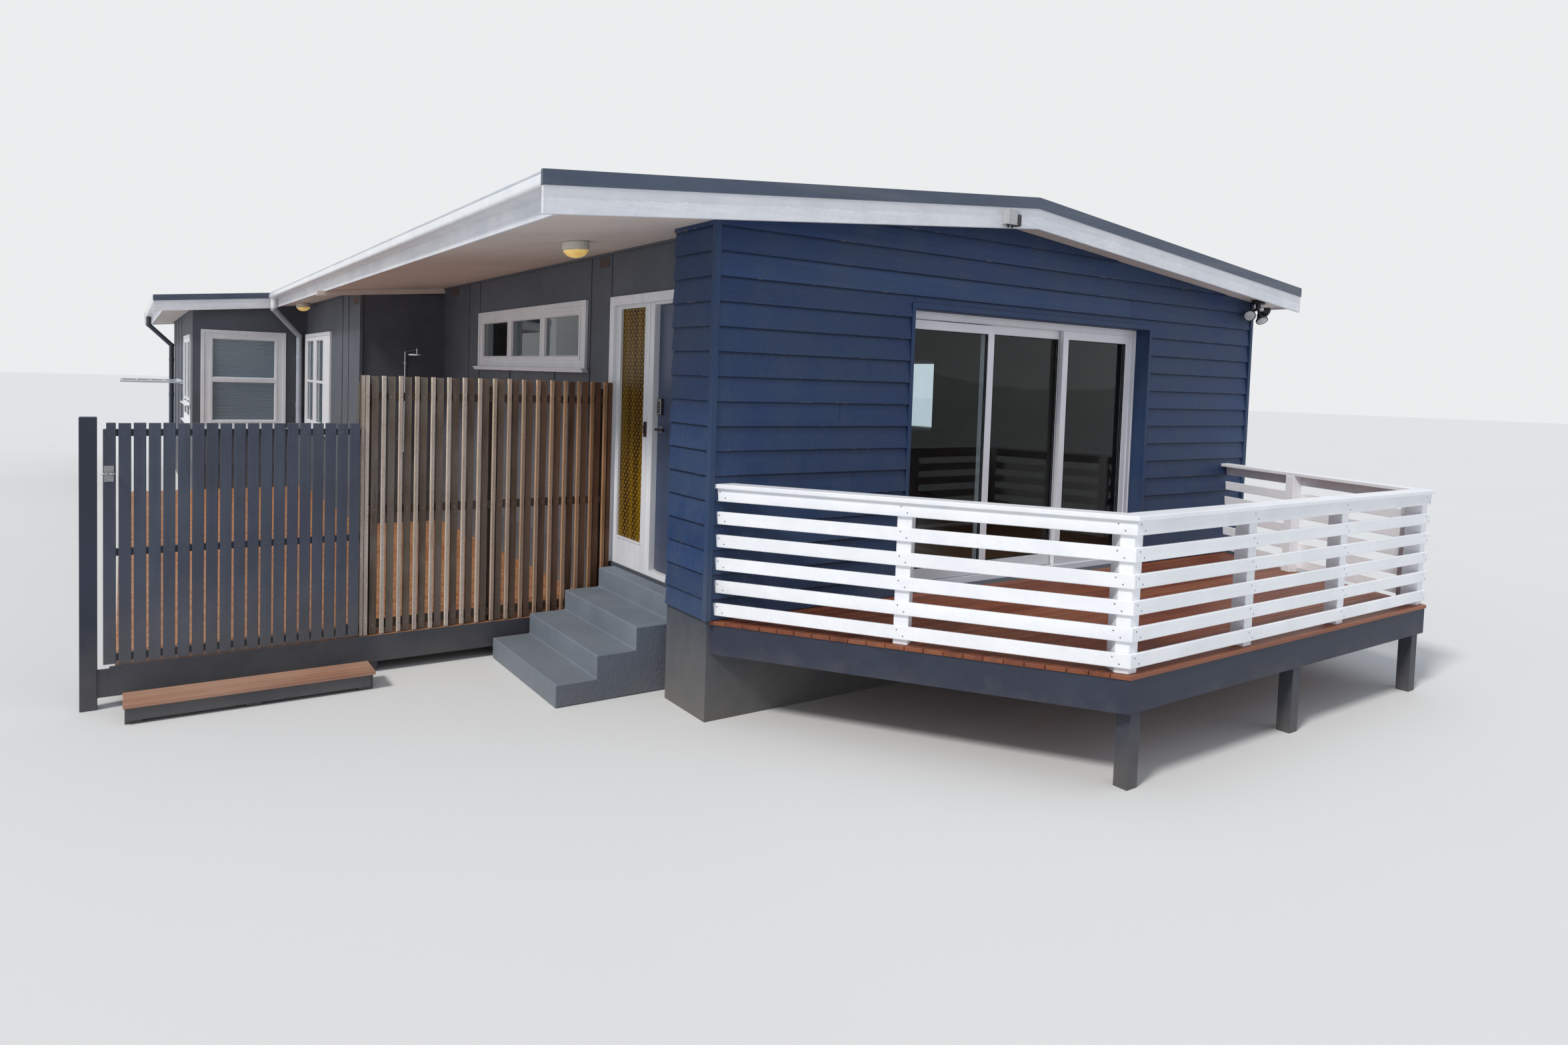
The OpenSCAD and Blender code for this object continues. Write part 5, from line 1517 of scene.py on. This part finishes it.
def buildLiningTrims(look):
    # downstand board over the shower wall, cut to the roof's slope, and the deck's edge
    bm = bmesh.new()
    boxInto(bm, (look["x"][0], look["y"][0], -look["deep"]), (look["x"][1], look["y"][1], 0.0))
    for v in bm.verts:
        v.co.z += roofHeight(v.co.x) - liningDrop - 0.0005
    thing = addObject("downstand", meshFrom(bm, "downstand", "soffitPaint"))
    enter(bake(thing, 0.003), "house")
    boxes("deckEdge", [((-3.119, 2.0366, 0.078), (0.2795, 2.0455, 0.2675))], "darkPaint")


def buildShowerFace(look):
    # spray plate with its holes, and caps on the two taps
    x, y, z = look["rose"]
    turned("roseFace", [(0.1045, 0), (0.1045, -0.003), (0.099, -0.0045)], (x, y, z), (0, 0, 1),
           "satinSteel")
    holes = [(x + r * math.cos(2 * math.pi * k / n), y + r * math.sin(2 * math.pi * k / n),
              z - 0.0050) for r, n in look["rings"] for k in range(n)]
    heads("roseHoles", holes, (0, 0, -1), "rubberBlackAndSlotShade", 0.0021, 0.0010, 6)
    x, y, z = look["taps"]
    for k, side in enumerate((-0.06, 0.06)):
        turned(f"tapCap{k}", look["cap"], (x + side, y, z), (0, -1, 0), "satinSteel",
               10)


def buildRainwater(look):
    # sockets and straps on the downpipes; the middle pipe is grey under its elbow
    mesh = nodes["downpipes"].data
    dress(mesh, "gutterSteel", "pipeDark", "pipeGrey")
    markFaces(mesh, 1, lambda face: face.center.x < -2.1)
    markFaces(mesh, 2, lambda face: -2.1 <= face.center.x < 0 and face.center.z < 3.055)
    for k, (x, y, heights, wall, axis, paint) in enumerate(look["pipes"]):
        for j, z in enumerate(heights):
            turned(f"pipeSocket{k}{j}", look["socket"], (x, y, z), (0, 0, 1), paint,
                   32)
            low, high = z - 0.05, z - 0.048
            a, b = sorted((x if axis == "x" else y, wall))
            if axis == "x":
                strap = ((a, y - 0.02, low), (b, y + 0.02, high))
            else:
                strap = ((x - 0.02, a, low), (x + 0.02, b, high))
            boxes(f"pipeStrap{k}{j}", [strap], paint, 0.0004)


buildLiningTrims({"x": (-1.19, 0.279), "y": (7.196, 7.2285), "deep": 0.062})
buildShowerFace({"rose": (-0.13, 6.87, 2.348), "taps": (-0.19, 7.168, 1.30),
                 "rings": ((0.018, 6), (0.036, 12), (0.054, 18), (0.072, 24), (0.090, 30)),
                 "cap": ((0.0187, 0), (0.0192, 0.003), (0.0170, 0.009), (0.008, 0.0115),
                         (0, 0.012))})
buildRainwater({
    "socket": ((0.0424, -0.03), (0.0448, -0.028), (0.0452, 0.026), (0.0438, 0.03),
               (0.0424, 0.03)),
    "pipes": ((-0.790, 11.4680, (0.62, 1.55, 2.30), wingY, "y", "pipeGrey"),
              (-2.2620, 17.700, (0.55, 1.5, 2.2), wingX, "x", "pipeDark"),
              (6.1220, 17.700, (0.55, 1.5, 2.3), rightX, "x", "gutterSteel"))})
print("stage: rainwater goods and trims")


# camera at the photograph's angle, floor and lamps

def placeCamera(look):
    data = bpy.data.cameras.new("viewCamera")
    data.sensor_width = 36.0
    data.lens = look["lens"]
    data.shift_y = look["shiftY"]
    data.clip_start, data.clip_end = 0.1, 500
    yaw, pitch, roll = look["yaw"], look["pitch"], look["roll"]
    ahead = Vector((math.sin(yaw) * math.cos(pitch), math.cos(yaw) * math.cos(pitch),
                    math.sin(pitch)))
    side = Vector((math.cos(yaw), -math.sin(yaw), 0))
    above = side.cross(ahead)
    right = side * math.cos(roll) + above * math.sin(roll)
    up = above * math.cos(roll) - side * math.sin(roll)
    turn = Matrix((right, up, -ahead)).transposed().to_4x4()
    scene.camera = addObject("viewCamera", data)
    scene.camera.matrix_world = Matrix.Translation(look["place"]) @ turn


placeCamera({"place": (-3.0395, -5.1783, 2.1986), "yaw": 0.60547, "pitch": -0.0474,
             "roll": 0.03294, "lens": 21.906, "shiftY": -0.0621})


def makeFloor(look):
    bm = bmesh.new()
    bmesh.ops.create_circle(bm, cap_ends=True, segments=96, radius=look["radius"])
    bmesh.ops.translate(bm, vec=look["middle"], verts=bm.verts)
    shader, place = startMaterial("floorPale", look)
    feed(shader, {"Roughness": 0.9, "Base Color": blendColor(
        noise(place, 0.4), look["color"], look["second"])})
    addObject("studioFloor", meshFrom(bm, "studioFloor", "floorPale"))


makeFloor({"color": rgb(226, 226, 224), "second": rgb(222, 222, 221), "radius": 140,
           "middle": (2.0, 8.0, -0.001), "gloss": 0.1})


def lightStudio(look):
    scene.world = bpy.data.worlds.new("studioWorld")
    scene.world.use_nodes = True
    tree = scene.world.node_tree
    tree.nodes.clear()
    path = put("ShaderNodeLightPath", {}, None, tree)
    soft = put("ShaderNodeBackground", {
        "Color": look["ambient"], "Strength": look["ambientStrength"]}, tree=tree)
    seen = put("ShaderNodeBackground", {"Color": look["backdrop"], "Strength": 1.0}, tree=tree)
    direct = calc("MAXIMUM", path["Is Camera Ray"], calc(
        "MAXIMUM", path["Is Transmission Ray"], path["Is Glossy Ray"]))
    feed(tree.nodes.new("ShaderNodeOutputWorld"), {
        0: put("ShaderNodeMixShader", {0: direct, 1: soft, 2: seen})})
    for name, strength, angle, aim, color in look["lamps"]:
        data = bpy.data.lights.new(name, "SUN")
        data.energy = strength
        data.angle = math.radians(angle)
        data.color = color
        lamp = addObject(name, data)
        lamp.rotation_mode = "QUATERNION"
        lamp.rotation_quaternion = Vector(aim).to_track_quat("-Z", "Y")
        lamp.location = Vector(aim) * -30


lightStudio({"ambient": rgb(232, 240, 252), "ambientStrength": 0.6,
             "backdrop": rgb(236, 237, 238),
             "lamps": (("keyLamp", 2.1, 10, (0.85, 0.2, -0.9), (1.0, 0.97, 0.93)),
                       ("fillLamp", 0.25, 60, (-0.6, 0.5, -0.45), (0.95, 0.97, 1.0)))})

scene.view_settings.view_transform = "Standard"
print("stage: camera and light")
